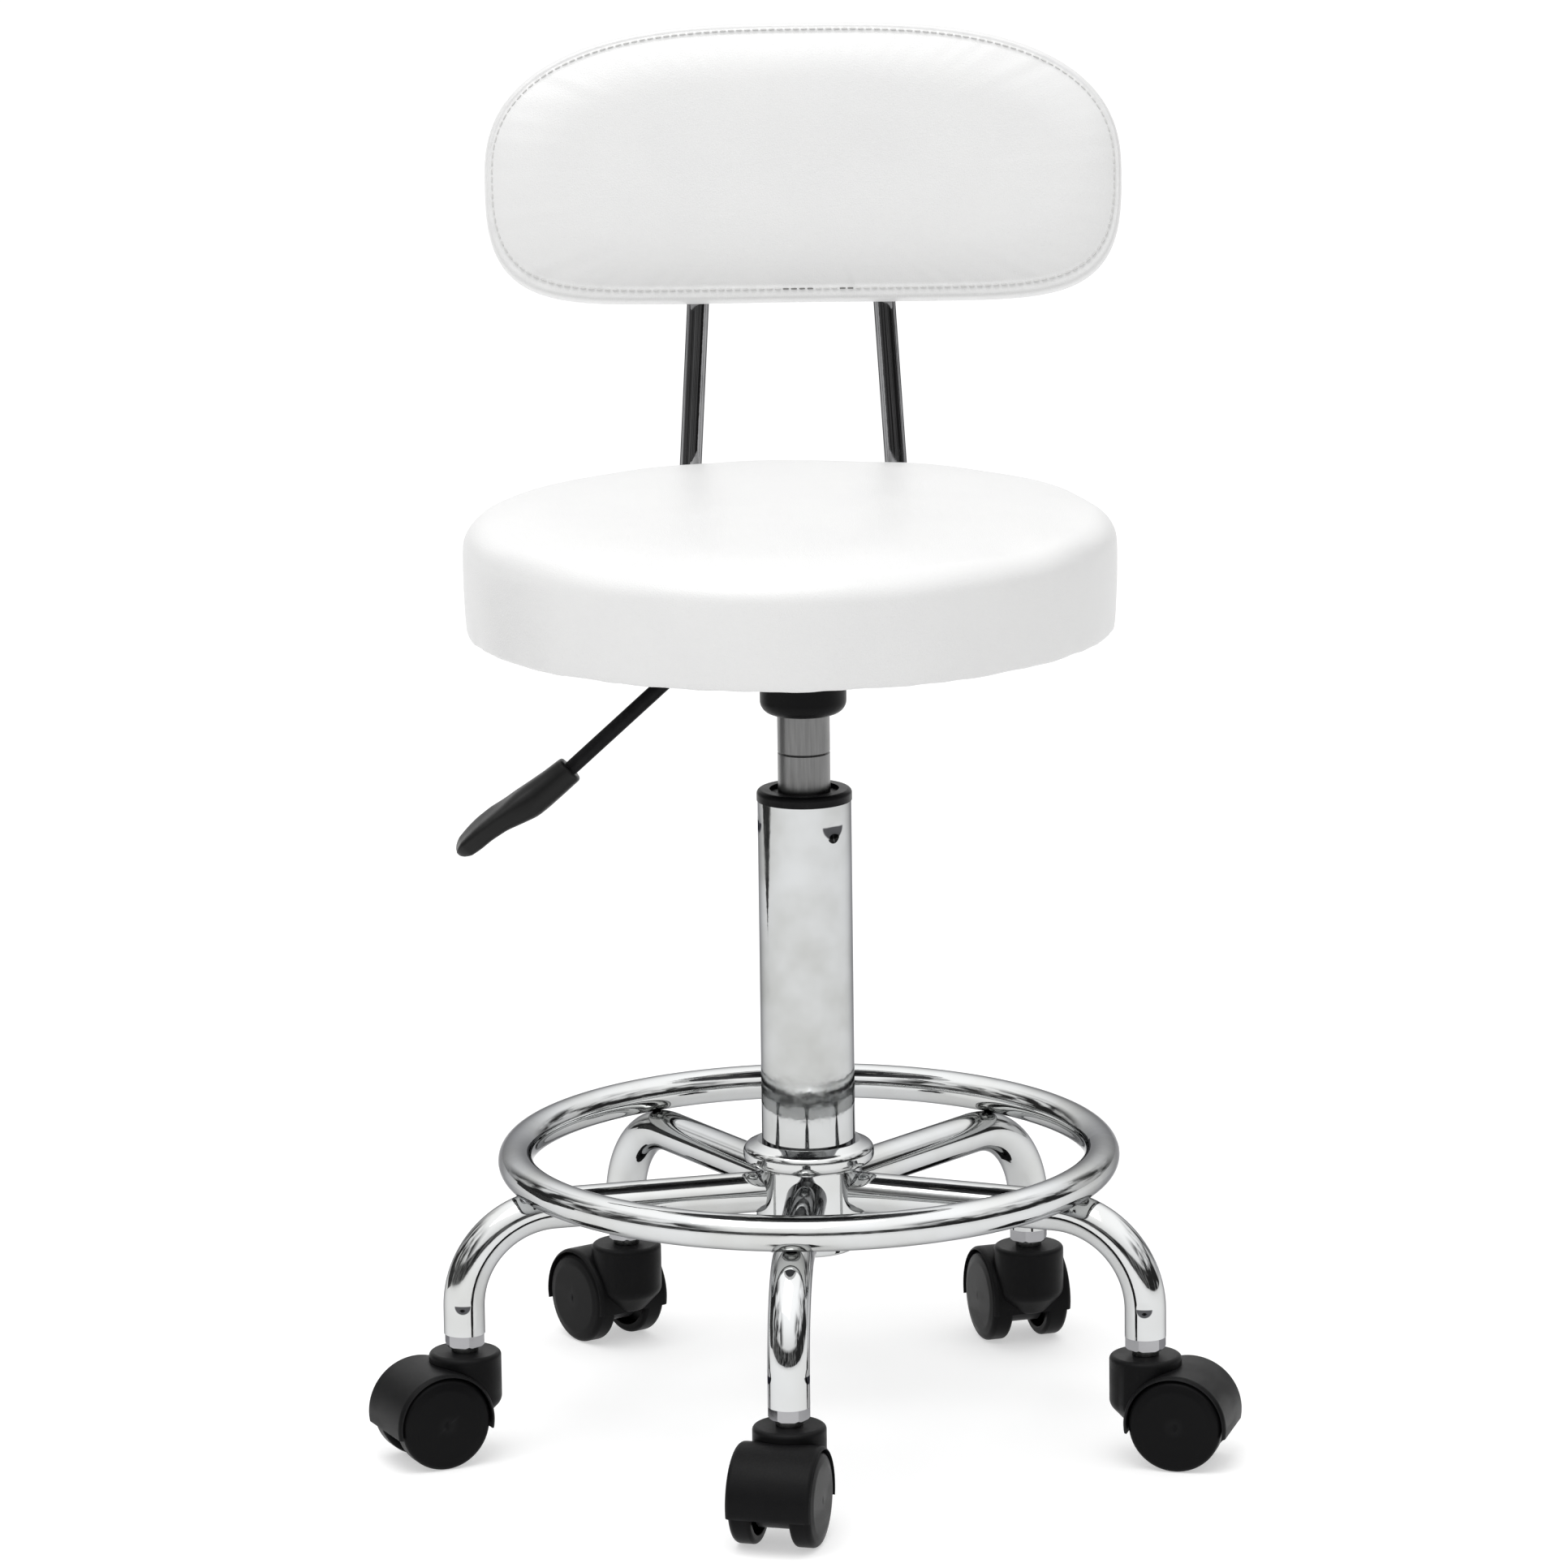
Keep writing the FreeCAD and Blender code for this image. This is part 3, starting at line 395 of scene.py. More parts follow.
class Finish:
    """A finish that can make its own Blender material."""

    name: str = "finish"

    def material(self, effects: Effects) -> bpy.types.Material:
        """Build the material.

        Args:
            effects: the shared effects.

        Returns:
            The new material.
        """
        made = bpy.data.materials.new(self.name)
        made.use_nodes = True
        made.node_tree.nodes.clear()
        tree = Tree(made.node_tree)
        shader = tree.add("ShaderNodeBsdfPrincipled")
        output = tree.add("ShaderNodeOutputMaterial")
        made.node_tree.links.new(shader.outputs[0], output.inputs[0])
        self.dress(tree, shader, effects)
        return made

    def dress(self, tree: Tree, shader: bpy.types.Node, effects: Effects) -> None:
        """Set the shader's inputs; each finish has its own.

        Args:
            tree: builder of the material.
            shader: the Principled shader.
            effects: the shared effects.
        """
        raise NotImplementedError

    @staticmethod
    def wire(tree: Tree, shader: bpy.types.Node, **sockets: object) -> None:
        """Wire sockets or set values on the shader.

        Args:
            tree: builder of the material.
            shader: the Principled shader.
            sockets: input names, with an underscore for each space.
        """
        for name, value in sockets.items():
            target = shader.inputs[name.replace("_", " ")]
            if isinstance(value, bpy.types.NodeSocket):
                tree.tree.links.new(value, target)
            elif isinstance(value, tuple):
                target.default_value = (*value, 1.0)[:4]
            else:
                target.default_value = value

    @staticmethod
    def bump(tree: Tree, height: bpy.types.NodeSocket, depth: float, strength: float = 1.0,
             under: bpy.types.NodeSocket | None = None) -> bpy.types.NodeSocket:
        """Turn a height into a normal.

        Args:
            tree: builder of the material.
            height: height between 0 and 1.
            depth: what a height of 1 stands for, in metres.
            strength: share of the effect.
            under: normal of a coarser bump below this one.

        Returns:
            The normal's socket.
        """
        inputs: dict[str | int, object] = {"Height": height, "Distance": depth, "Strength": strength}
        if under is not None:
            inputs["Normal"] = under
        return tree.add("ShaderNodeBump", inputs).outputs[0]


@dataclass(frozen=True)
class Vinyl(Finish):
    """Soft white upholstery vinyl with a satin face."""

    name: str = "white_vinyl"
    colour: Colour = (0.705, 0.705, 0.702)
    shade: Colour = (0.68, 0.68, 0.68)
    roughness: float = 0.35
    grain_depth: float = 0.00006

    def dress(self, tree: Tree, shader: bpy.types.Node, effects: Effects) -> None:
        """Grain, slow unevenness, a faint handling sheen and painted shade in hollows; see Finish.dress."""
        grain = effects.use(tree, Effect.LEATHER, Scale=820.0, Unevenness=0.6)
        marks = effects.use(tree, Effect.HANDLING, Smudge_scale=16.0, Scratch_scale=90.0)
        edges_and_shade = effects.use(tree, Effect.EDGES, Reach=9.0, Breakup=0.8)
        colour = tree.mix(tree.math("MULTIPLY", grain.outputs["Shade"], 0.5), self.colour, self.shade)
        # Painted shade: grey in hollows and creases of the vinyl.
        colour = tree.mix(tree.math("MULTIPLY", edges_and_shade.outputs["Hollow"], 0.35), colour, (0.52, 0.52, 0.515))
        gloss = tree.remap(marks.outputs["Smudge"], 0.0, 1.0, self.roughness, self.roughness + 0.06)
        self.wire(tree, shader, Base_Color=colour, Roughness=gloss, Specular_IOR_Level=0.6,
                  Sheen_Weight=0.05, Sheen_Roughness=0.4,
                  Normal=self.bump(tree, grain.outputs["Height"], self.grain_depth))


@dataclass(frozen=True)
class Thread(Finish):
    """Twisted white sewing thread."""

    name: str = "sewing_thread"
    colour: Colour = (0.60, 0.60, 0.59)

    def dress(self, tree: Tree, shader: bpy.types.Node, effects: Effects) -> None:
        """Twist of the thread as a bump; see Finish.dress."""
        twist = tree.noise(tree.place(), 4200.0, 2.0)
        colour = tree.mix(twist, self.colour, tuple(part * 0.9 for part in self.colour))
        self.wire(tree, shader, Base_Color=colour, Roughness=0.75, Sheen_Weight=0.2,
                  Normal=self.bump(tree, twist, 0.0001))


@dataclass(frozen=True)
class Chrome(Finish):
    """Bright chrome plate over welded tube."""

    name: str = "chrome_plate"
    colour: Colour = (0.60, 0.61, 0.615)
    mottle_and_reflection_colour: Colour = (0.545, 0.55, 0.54)
    roughness: float = 0.045
    stakes: tuple[Point, ...] = ()
    stake_radius: float = 4.7 * MM
    stake_depth: float = 0.5 * MM
    # Painted shade: near black half moon below each punch mark, in place of the dimple's dark reflection.
    stake_painted_shade: Colour = (0.03, 0.03, 0.035)
    edge_tint: Colour = (0.30, 0.30, 0.31)
    hollow_shade: Colour = (0.35, 0.35, 0.36)

    def dress(self, tree: Tree, shader: bpy.types.Node, effects: Effects) -> None:
        """Mirror plate with faint smudges, hairlines and orange peel, a mottle that is partly clouded plate
        and partly painted reflection, and painted shade in hollows and at the punch marks; see Finish.dress.
        """
        marks = effects.use(tree, Effect.HANDLING, Smudge_scale=24.0, Scratch_scale=520.0)
        edges_and_shade = effects.use(tree, Effect.EDGES, Reach=6.0, Breakup=1.2)
        hazed = tree.math("ADD", tree.math("MULTIPLY", marks.outputs["Smudge"], 0.09),
                          tree.math("MULTIPLY", marks.outputs["Scratch"], 0.05))
        gloss = tree.math("ADD", self.roughness, hazed)
        # Colour mottle: partly clouded plate, partly painted reflection.
        cloud = tree.remap(tree.noise(tree.place(), 24.0, 3.0, 0.5), 0.3, 0.75, 0.0, 1.0)
        colour = tree.mix(cloud, self.colour, self.mottle_and_reflection_colour)
        # Painted shade: darker plate in hollows.
        colour = tree.mix(tree.math("MULTIPLY", edges_and_shade.outputs["Hollow"], 0.5), colour, self.hollow_shade)
        peel = tree.noise(tree.place(), 130.0, 2.0)
        normal = self.bump(tree, peel, 0.00006, 0.6)
        for x, y, z in self.stakes:
            stake_and_shade = effects.use(tree, Effect.STAKE_AND_SHADE, X=x, Y=y, Z=z, Radius=self.stake_radius)
            normal = self.bump(tree, stake_and_shade.outputs["Height"], self.stake_depth, under=normal)
            # Painted shade: the half moon below each punch mark darkens the plate's colour.
            colour = tree.mix(tree.math("MULTIPLY", stake_and_shade.outputs["Shade"], 0.92), colour, self.stake_painted_shade)
        shader.inputs["Specular Tint"].default_value = (*self.edge_tint, 1.0)
        self.wire(tree, shader, Base_Color=colour, Metallic=1.0, Roughness=gloss, Normal=normal)


@dataclass(frozen=True)
class Steel(Finish):
    """Ground or plated steel with lines along one direction."""

    name: str = "ground_steel"
    colour: Colour = (0.22, 0.22, 0.218)
    dark: Colour = (0.14, 0.14, 0.14)
    roughness: float = 0.32
    lines: Point = (1.0, 1.0, 0.05)
    line_scale: float = 700.0

    def dress(self, tree: Tree, shader: bpy.types.Node, effects: Effects) -> None:
        """Grinding lines in colour, gloss and bump, and painted shade in hollows; see Finish.dress."""
        lines = tree.noise(tree.stretched(self.lines), self.line_scale, 3.0, 0.6)
        marks = effects.use(tree, Effect.HANDLING, Smudge_scale=45.0, Scratch_scale=260.0)
        edges_and_shade = effects.use(tree, Effect.EDGES, Reach=8.0, Breakup=1.0)
        colour = tree.mix(lines, self.dark, self.colour)
        # Painted shade: near black steel in hollows.
        colour = tree.mix(tree.math("MULTIPLY", edges_and_shade.outputs["Hollow"], 0.6), colour, (0.08, 0.08, 0.085))
        gloss = tree.math("ADD", tree.remap(lines, 0.2, 0.8, self.roughness + 0.05, self.roughness - 0.05),
                          tree.math("MULTIPLY", marks.outputs["Smudge"], 0.08))
        self.wire(tree, shader, Base_Color=colour, Metallic=1.0, Roughness=gloss,
                  Normal=self.bump(tree, lines, 0.00004, 0.6))


@dataclass(frozen=True)
class Nylon(Finish):
    """Black moulded nylon."""

    name: str = "black_nylon"
    colour: Colour = (0.0045, 0.0045, 0.0048)
    worn: Colour = (0.022, 0.022, 0.023)
    roughness: float = 0.40
    grain: float = 0.00005
    dust: float = 0.01
    specular: float = 0.07
    wear_reach: float = 8.0

    def dress(self, tree: Tree, shader: bpy.types.Node, effects: Effects) -> None:
        """Moulded grain, rubbed edges and a little dust; see Finish.dress."""
        mould = effects.use(tree, Effect.MOULDED, Scale=2400.0, Flow=0.35)
        edges_and_shade = effects.use(tree, Effect.EDGES, Reach=self.wear_reach, Breakup=1.6)
        dust = effects.use(tree, Effect.DUST, Amount=self.dust)
        colour = tree.mix(edges_and_shade.outputs["Edge"], self.colour, self.worn)
        colour = tree.mix(dust.outputs["Dust"], colour, (0.22, 0.21, 0.20))
        gloss = tree.math("ADD", tree.remap(mould.outputs["Shade"], 0.0, 1.0, self.roughness - 0.03,
                                            self.roughness + 0.05),
                          tree.math("MULTIPLY", edges_and_shade.outputs["Edge"], -0.08))
        self.wire(tree, shader, Base_Color=colour, Roughness=gloss, Specular_IOR_Level=self.specular,
                  Normal=self.bump(tree, mould.outputs["Height"], self.grain))


@dataclass(frozen=True)
class Plywood(Finish):
    """Raw plywood with its plies showing on the edge."""

    name: str = "raw_plywood"
    light: Colour = (0.60, 0.44, 0.27)
    dark: Colour = (0.36, 0.24, 0.13)
    ply: float = 0.0015

    def dress(self, tree: Tree, shader: bpy.types.Node, effects: Effects) -> None:
        """Grain along X and plies through the thickness; see Finish.dress."""
        grain = tree.noise(tree.stretched((0.08, 1.0, 1.0)), 160.0, 5.0, 0.65)
        height = tree.add("ShaderNodeSeparateXYZ", {0: tree.place()}).outputs[2]
        plies = tree.math("PINGPONG", height, self.ply)
        stripe = tree.remap(plies, 0.0, self.ply, 0.0, 0.5)
        colour = tree.mix(tree.math("ADD", tree.math("MULTIPLY", grain, 0.7), stripe, clamp=True),
                          self.light, self.dark)
        self.wire(tree, shader, Base_Color=colour, Roughness=0.72,
                  Normal=self.bump(tree, grain, 0.0002, 0.6))


@dataclass(frozen=True)
class Foam(Finish):
    """Open-cell foam."""

    name: str = "open_foam"
    colour: Colour = (0.80, 0.74, 0.55)

    def dress(self, tree: Tree, shader: bpy.types.Node, effects: Effects) -> None:
        """Cells as colour and bump; see Finish.dress."""
        cells = tree.add("ShaderNodeTexVoronoi", {"Vector": tree.place(), "Scale": 900.0}).outputs[0]
        colour = tree.mix(cells, self.colour, (0.62, 0.55, 0.38))
        self.wire(tree, shader, Base_Color=colour, Roughness=0.95, Normal=self.bump(tree, cells, 0.0004))


@dataclass(frozen=True)
class DustCloth(Finish):
    """Black non-woven cloth, spot-bonded."""

    name: str = "dust_cloth"
    colour: Colour = (0.022, 0.022, 0.024)
    bond_scale: float = 420.0

    def dress(self, tree: Tree, shader: bpy.types.Node, effects: Effects) -> None:
        """Bond points and loose fibres; see Finish.dress."""
        bonds = tree.add("ShaderNodeTexVoronoi", {"Vector": tree.place(), "Scale": self.bond_scale,
                                                  "Randomness": 0.15}).outputs[0]
        fibres = tree.noise(tree.place(), 3000.0, 3.0)
        pressed = tree.remap(bonds, 0.2, 0.5, 0.0, 1.0)
        colour = tree.mix(fibres, self.colour, (0.06, 0.06, 0.065))
        self.wire(tree, shader, Base_Color=colour, Roughness=0.9, Sheen_Weight=0.15,
                  Normal=self.bump(tree, pressed, 0.0002))


@dataclass(frozen=True)
class Rubber(Finish):
    """Black rubber."""

    name: str = "black_rubber"
    colour: Colour = (0.018, 0.018, 0.018)

    def dress(self, tree: Tree, shader: bpy.types.Node, effects: Effects) -> None:
        """Dull skin with bloom; see Finish.dress."""
        mould = effects.use(tree, Effect.MOULDED, Scale=1600.0, Flow=0.6)
        colour = tree.mix(mould.outputs["Shade"], self.colour, (0.04, 0.04, 0.04))
        self.wire(tree, shader, Base_Color=colour, Roughness=0.8,
                  Normal=self.bump(tree, mould.outputs["Height"], 0.0001))


@dataclass(frozen=True)
class FloorPaint(Finish):
    """Pale studio floor."""

    name: str = "studio_floor"
    colour: Colour = (0.62, 0.62, 0.62)
    lift: float = 0.48

    def dress(self, tree: Tree, shader: bpy.types.Node, effects: Effects) -> None:
        """Plain matt paint; see Finish.dress."""
        self.wire(tree, shader, Base_Color=self.colour, Roughness=0.7, Specular_IOR_Level=0.15,
                  Emission_Color=(1.0, 1.0, 1.0), Emission_Strength=self.lift)


# ---- meshes ------------------------------------------------------------------------------------


def mesh_object(name: str, points: np.ndarray, faces: Iterable[Sequence[int]]) -> bpy.types.Object:
    """Make a mesh object in the row frame.

    Args:
        name: the object's name.
        points: vertex positions in metres, one row each.
        faces: vertex numbers of each face.

    Returns:
        The new object, linked to the scene.
    """
    mesh = bpy.data.meshes.new(name)
    mesh.from_pydata([tuple(p) for p in points], [], [tuple(f) for f in faces])
    mesh.validate()
    for polygon in mesh.polygons:
        polygon.use_smooth = True
    made = bpy.data.objects.new(name, mesh)
    bpy.context.scene.collection.objects.link(made)
    return made


def lattice_faces(rings: int, steps: int, first: int = 0) -> list[tuple[int, int, int, int]]:
    """Quads between successive closed rings of vertices.

    Args:
        rings: number of rings.
        steps: vertices in each ring.
        first: number of the first ring's first vertex.

    Returns:
        The quads.
    """
    faces = []
    for ring in range(rings - 1):
        low = first + ring * steps
        for step in range(steps):
            after = (step + 1) % steps
            faces.append((low + step, low + after, low + steps + after, low + steps + step))
    return faces


def fan_faces(centre: int, ring_start: int, steps: int, flip: bool) -> list[tuple[int, int, int]]:
    """Triangles between a centre vertex and a ring.

    Args:
        centre: number of the centre vertex.
        ring_start: number of the ring's first vertex.
        steps: vertices in the ring.
        flip: turn the triangles over.

    Returns:
        The triangles.
    """
    faces = []
    for step in range(steps):
        pair = (ring_start + step, ring_start + (step + 1) % steps)
        faces.append((centre, *(pair[::-1] if flip else pair)))
    return faces


def points_of(piece: bpy.types.Object) -> np.ndarray:
    """Vertex positions of a mesh object as an array."""
    flat = np.zeros(len(piece.data.vertices) * 3)
    piece.data.vertices.foreach_get("co", flat)
    return flat.reshape(-1, 3)


def set_points(piece: bpy.types.Object, points: np.ndarray) -> None:
    """Write vertex positions back to a mesh object."""
    piece.data.vertices.foreach_set("co", points.ravel())
    piece.data.update()


@dataclass(frozen=True)
class SkinCloth:
    """How vinyl over foam behaves in the cloth simulation."""

    pressure: float
    quality: int = 6
    mass: float = 0.35
    stretch: float = 22.0
    shear: float = 12.0
    bending: float = 1.5
    damping: float = 4.0
    pinning: float = 4.0
    frames: int = 20

    def settled(self, piece: bpy.types.Object, held: np.ndarray) -> np.ndarray:
        """Run the simulation on a piece, which is left as it was.

        Args:
            piece: the skin's mesh object.
            held: for each vertex, how firmly the sewing or stapling holds it, 0 to 1.

        Returns:
            The settled points.
        """
        pins = piece.vertex_groups.new(name="held")
        for index in np.nonzero(held > 0)[0]:
            pins.add([int(index)], float(held[index]), "REPLACE")
        cloth = piece.modifiers.new("skin", "CLOTH")
        settings = cloth.settings
        settings.quality = self.quality
        settings.mass = self.mass
        settings.tension_stiffness = settings.compression_stiffness = self.stretch
        settings.shear_stiffness = self.shear
        settings.bending_stiffness = self.bending
        settings.air_damping = self.damping
        settings.use_pressure = True
        settings.uniform_pressure_force = self.pressure
        settings.effector_weights.gravity = 0.0
        settings.vertex_group_mass = "held"
        settings.pin_stiffness = self.pinning
        cloth.collision_settings.use_collision = False
        cloth.point_cache.frame_start = 1
        cloth.point_cache.frame_end = self.frames
        scene = bpy.context.scene
        for frame_number in range(1, self.frames + 1):
            scene.frame_set(frame_number)
        settled = points_of(piece.evaluated_get(bpy.context.evaluated_depsgraph_get()))
        piece.modifiers.remove(cloth)
        scene.frame_set(1)
        return settled


def inflate(piece: bpy.types.Object, held: np.ndarray, cap: float, pressure: float) -> None:
    """Swell a skin as its foam does, with a cloth simulation, and apply the result.

    Args:
        piece: the skin's mesh object.
        held: for each vertex, how firmly the sewing or stapling holds it, 0 to 1.
        cap: farthest that a point may move, in metres.
        pressure: pressure inside the skin.
    """
    start = points_of(piece)
    moved = SkinCloth(pressure).settled(piece, held) - start
    outward = np.zeros(len(start) * 3)
    piece.data.vertex_normals.foreach_get("vector", outward)
    outward = outward.reshape(-1, 3)
    areas = np.zeros(len(start))
    for polygon in piece.data.polygons:
        areas[list(polygon.vertices)] += polygon.area / len(polygon.vertices)
    swell = calmed(start, outward, (moved * outward).sum(axis=1), areas) * (1 - held)
    set_points(piece, start + outward * (cap * np.tanh(swell / cap))[:, None])


def calmed(start: np.ndarray, outward: np.ndarray, swell: np.ndarray, areas: np.ndarray,
           reach: float = 13 * MM, block: int = 600) -> np.ndarray:
    """Take the fine ripples out of a skin's swell, as taut vinyl has none.

    Args:
        start: the skin's points.
        outward: their normals.
        swell: movement of each point along its normal.
        areas: the area that belongs to each point.
        reach: how far the smoothing reaches.
        block: how many points are worked out at a time.

    Returns:
        The smoothed swell.
    """
    smooth = np.empty(len(start))
    for low in range(0, len(start), block):
        rows = slice(low, low + block)
        apart = ((start[rows, None] - start[None]) ** 2).sum(axis=2)
        alike = np.clip(outward[rows] @ outward.T, 0, 1)
        weight = np.exp(-apart / (2 * reach ** 2)) * alike * areas
        smooth[rows] = weight @ swell / weight.sum(axis=1)
    return smooth


def subdivided(piece: bpy.types.Object) -> None:
    """Apply one level of subdivision surface to a mesh object."""
    smooth = piece.modifiers.new("smooth", "SUBSURF")
    smooth.levels = smooth.render_levels = 1
    evaluated = piece.evaluated_get(bpy.context.evaluated_depsgraph_get())
    mesh = bpy.data.meshes.new_from_object(evaluated)
    piece.modifiers.clear()
    piece.vertex_groups.clear()
    piece.data = mesh
    for polygon in mesh.polygons:
        polygon.use_smooth = True


def capsules(name: str, places: Sequence[Placing], length: float, radius: float,
             flat: float) -> bpy.types.Object:
    """Many small rounded bars in one mesh, such as stitches or staples.

    Args:
        name: the object's name.
        places: for each bar its middle, its direction and its outward normal.
        length: length of a bar.
        radius: half its width.
        flat: height over width.

    Returns:
        The new object.
    """
    sides = 8
    profile = [(-0.5, 0.35), (-0.42, 0.85), (-0.2, 1.0), (0.2, 1.0), (0.42, 0.85), (0.5, 0.35)]
    points, faces = [], []
    for middle, along, outward in places:
        across = np.cross(outward, along)
        first = len(points)
        for share, width in profile:
            for side in range(sides):
                angle = 2 * math.pi * side / sides
                rim = across * math.cos(angle) * radius * width
                rim = rim + outward * math.sin(angle) * radius * width * flat
                points.append(middle + along * share * length + rim)
        faces += lattice_faces(len(profile), sides, first)
        last = first + (len(profile) - 1) * sides
        faces.append(tuple(range(first + sides - 1, first - 1, -1)))
        faces.append(tuple(range(last, last + sides)))
    return mesh_object(name, np.array(points), faces)


def ripple(angle: np.ndarray, seed: int, waves: Sequence[int]) -> np.ndarray:
    """Uneven ripple round a closed ring, the same in each run.

    Args:
        angle: position round the ring in radians.
        seed: which ripple.
        waves: how many waves round the ring each layer has.

    Returns:
        Heights of about -1 to 1.
    """
    chance = np.random.default_rng(seed)
    total = np.zeros_like(angle)
    for count in waves:
        total += chance.uniform(0.5, 1.0) * np.sin(count * angle + chance.uniform(0, 2 * math.pi))
    return total / math.sqrt(len(waves))


# ---- finishing the frame's own pieces --------------------------------------------------------------


class Dresser:
    """Makes each finish once and gives it to pieces."""

    def __init__(self) -> None:
        """Build the shared effects."""
        self.effects = Effects()
        self.made: dict[str, bpy.types.Material] = {}
        self.finished: set[str] = set()

    def dress(self, piece: bpy.types.Object, finish: Finish) -> None:
        """Give a piece one finish all over.

        Args:
            piece: the object.
            finish: its finish.
        """
        if finish.name not in self.made:
            self.made[finish.name] = finish.material(self.effects)
        material = self.made[finish.name]
        if not piece.data.materials:
            piece.data.materials.append(material)
        for slot in piece.material_slots:
            slot.material = material

    def dress_nodes(self, nodes: Iterable[str], finish: Finish) -> None:
        """Give frame nodes one finish.

        Args:
            nodes: node names.
            finish: their finish.
        """
        for node in nodes:
            self.dress(FRAME["nodes"][node], finish)
            self.finished.add(node)
            LOG.info("dressed %s in %s", node, finish.name)


def nodes_named(*endings: str) -> list[str]:
    """Names of the frame's nodes that end in one of the given words."""
    return sorted(name for name in FRAME["nodes"] if name.endswith(endings))


@dataclass
class Base:
    """Chrome base: hub, legs, ring, collars, and the hidden bearing."""

    chrome: Chrome = field(default_factory=Chrome)
    collar: Chrome = field(default_factory=lambda: Chrome(
        name="collar_chrome", colour=(0.36, 0.36, 0.37), mottle_and_reflection_colour=(0.28, 0.28, 0.29), roughness=0.10))
    column_radius: float = 25 * MM
    column_stake_turns: tuple[float, ...] = (37.6, 157.6, 277.6)
    column_stake_height: float = 335 * MM
    steel: Steel = field(default_factory=lambda: Steel(name="bearing_steel", roughness=0.2, line_scale=900.0))
    leg_radius: float = 11 * MM
    stake_turn: float = math.radians(74)
    stake_height: float = 85 * MM

    def leg_chrome(self, leg: str) -> Chrome:
        """Chrome of one leg, with the two punch marks that hold its caster socket, each with a half moon of
        painted shade.

        Args:
            leg: the leg's node name.

        Returns:
            The finish.
        """
        joint_name = leg.replace("leg_", "", 1) + "_caster_swivel"
        swivel = next(joint for joint in FRAME["joints"] if joint["name"] == joint_name)
        x, y = swivel["pos_m"][:2]
        outward = math.atan2(y, x)
        stakes = tuple((x + self.leg_radius * math.cos(outward + side * self.stake_turn),
                        y + self.leg_radius * math.sin(outward + side * self.stake_turn), self.stake_height)
                       for side in (-1, 1))
        return Chrome(name="chrome_" + leg, stakes=stakes)

    def column_chrome(self) -> Chrome:
        """Chrome of the column, with the three punch marks that hold its bush, each with a half moon of
        painted shade.
        """
        turns = [math.radians(turn) for turn in self.column_stake_turns]
        stakes = tuple((self.column_radius * math.sin(turn), -self.column_radius * math.cos(turn),
                        self.column_stake_height) for turn in turns)
        # A darker copy of the chrome with a darker mottle, as painted reflection on the column.
        return Chrome(name="column_chrome", colour=(0.55, 0.56, 0.565), mottle_and_reflection_colour=(0.43, 0.435, 0.425),
                      roughness=0.055, stakes=stakes, stake_radius=7.2 * MM)

    def dress(self, dresser: Dresser) -> None:
        """Give the base its finishes.

        Args:
            dresser: makes and gives finishes.
        """
        legs = sorted(name for name in FRAME["nodes"] if name.startswith("leg_") and name != "leg_sockets")
        for leg in legs:
            dresser.dress_nodes([leg], self.leg_chrome(leg))
        dresser.dress_nodes(["base_hub", "foot_ring"], self.chrome)
        dresser.dress_nodes(["leg_sockets"], self.collar)
        dresser.dress_nodes(["column_tube"], self.column_chrome())
        dresser.dress_nodes(["thrust_bearing", "caster_stems"], self.steel)


@dataclass
class GasLift:
    """Gas lift in the column, from its clip to the cup under the seat."""

    cylinder: Steel = field(default_factory=lambda: Steel(name="lift_steel"))
    bearing: Steel = field(default_factory=lambda: Steel(name="small_steel", roughness=0.24))
    nylon: Nylon = field(default_factory=lambda: Nylon(name="bush_nylon", roughness=0.33, dust=0.005))
    rubber: Rubber = field(default_factory=Rubber)

    def dress(self, dresser: Dresser) -> None:
        """Give the gas lift its finishes.

        Args:
            dresser: makes and gives finishes.
        """
        dresser.dress_nodes(["gas_cylinder", "piston_rod", "piston"], self.cylinder)
        dresser.dress_nodes(["bearing_washer", "rod_clip", "valve_pin"], self.bearing)
        dresser.dress_nodes(["column_bush", "rod_guide", "socket_cup"], self.nylon)
        dresser.dress_nodes(["bump_stop"], self.rubber)


@dataclass
class Mechanism:
    """Seat plate, socket, lever and the fasteners under the seat."""

    black: Nylon = field(default_factory=lambda: Nylon(
        name="black_enamel", colour=(0.0045, 0.0045, 0.0047), roughness=0.3, grain=0.00003,
        specular=0.05))
    zinc: Steel = field(default_factory=lambda: Steel(
        name="zinc_plate", colour=(0.62, 0.61, 0.56), dark=(0.44, 0.43, 0.40), roughness=0.3,
        lines=(1.0, 1.0, 1.0), line_scale=1500.0))

    def dress(self, dresser: Dresser) -> None:
        """Give the mechanism its finishes.

        Args:
            dresser: makes and gives finishes.
        """
        dresser.dress_nodes(["seat_plate", "stem_socket", "lever_rod"], self.black)
        dresser.dress_nodes([*nodes_named("bolts", "t_nuts"), "lever_pivot_pin"], self.zinc)


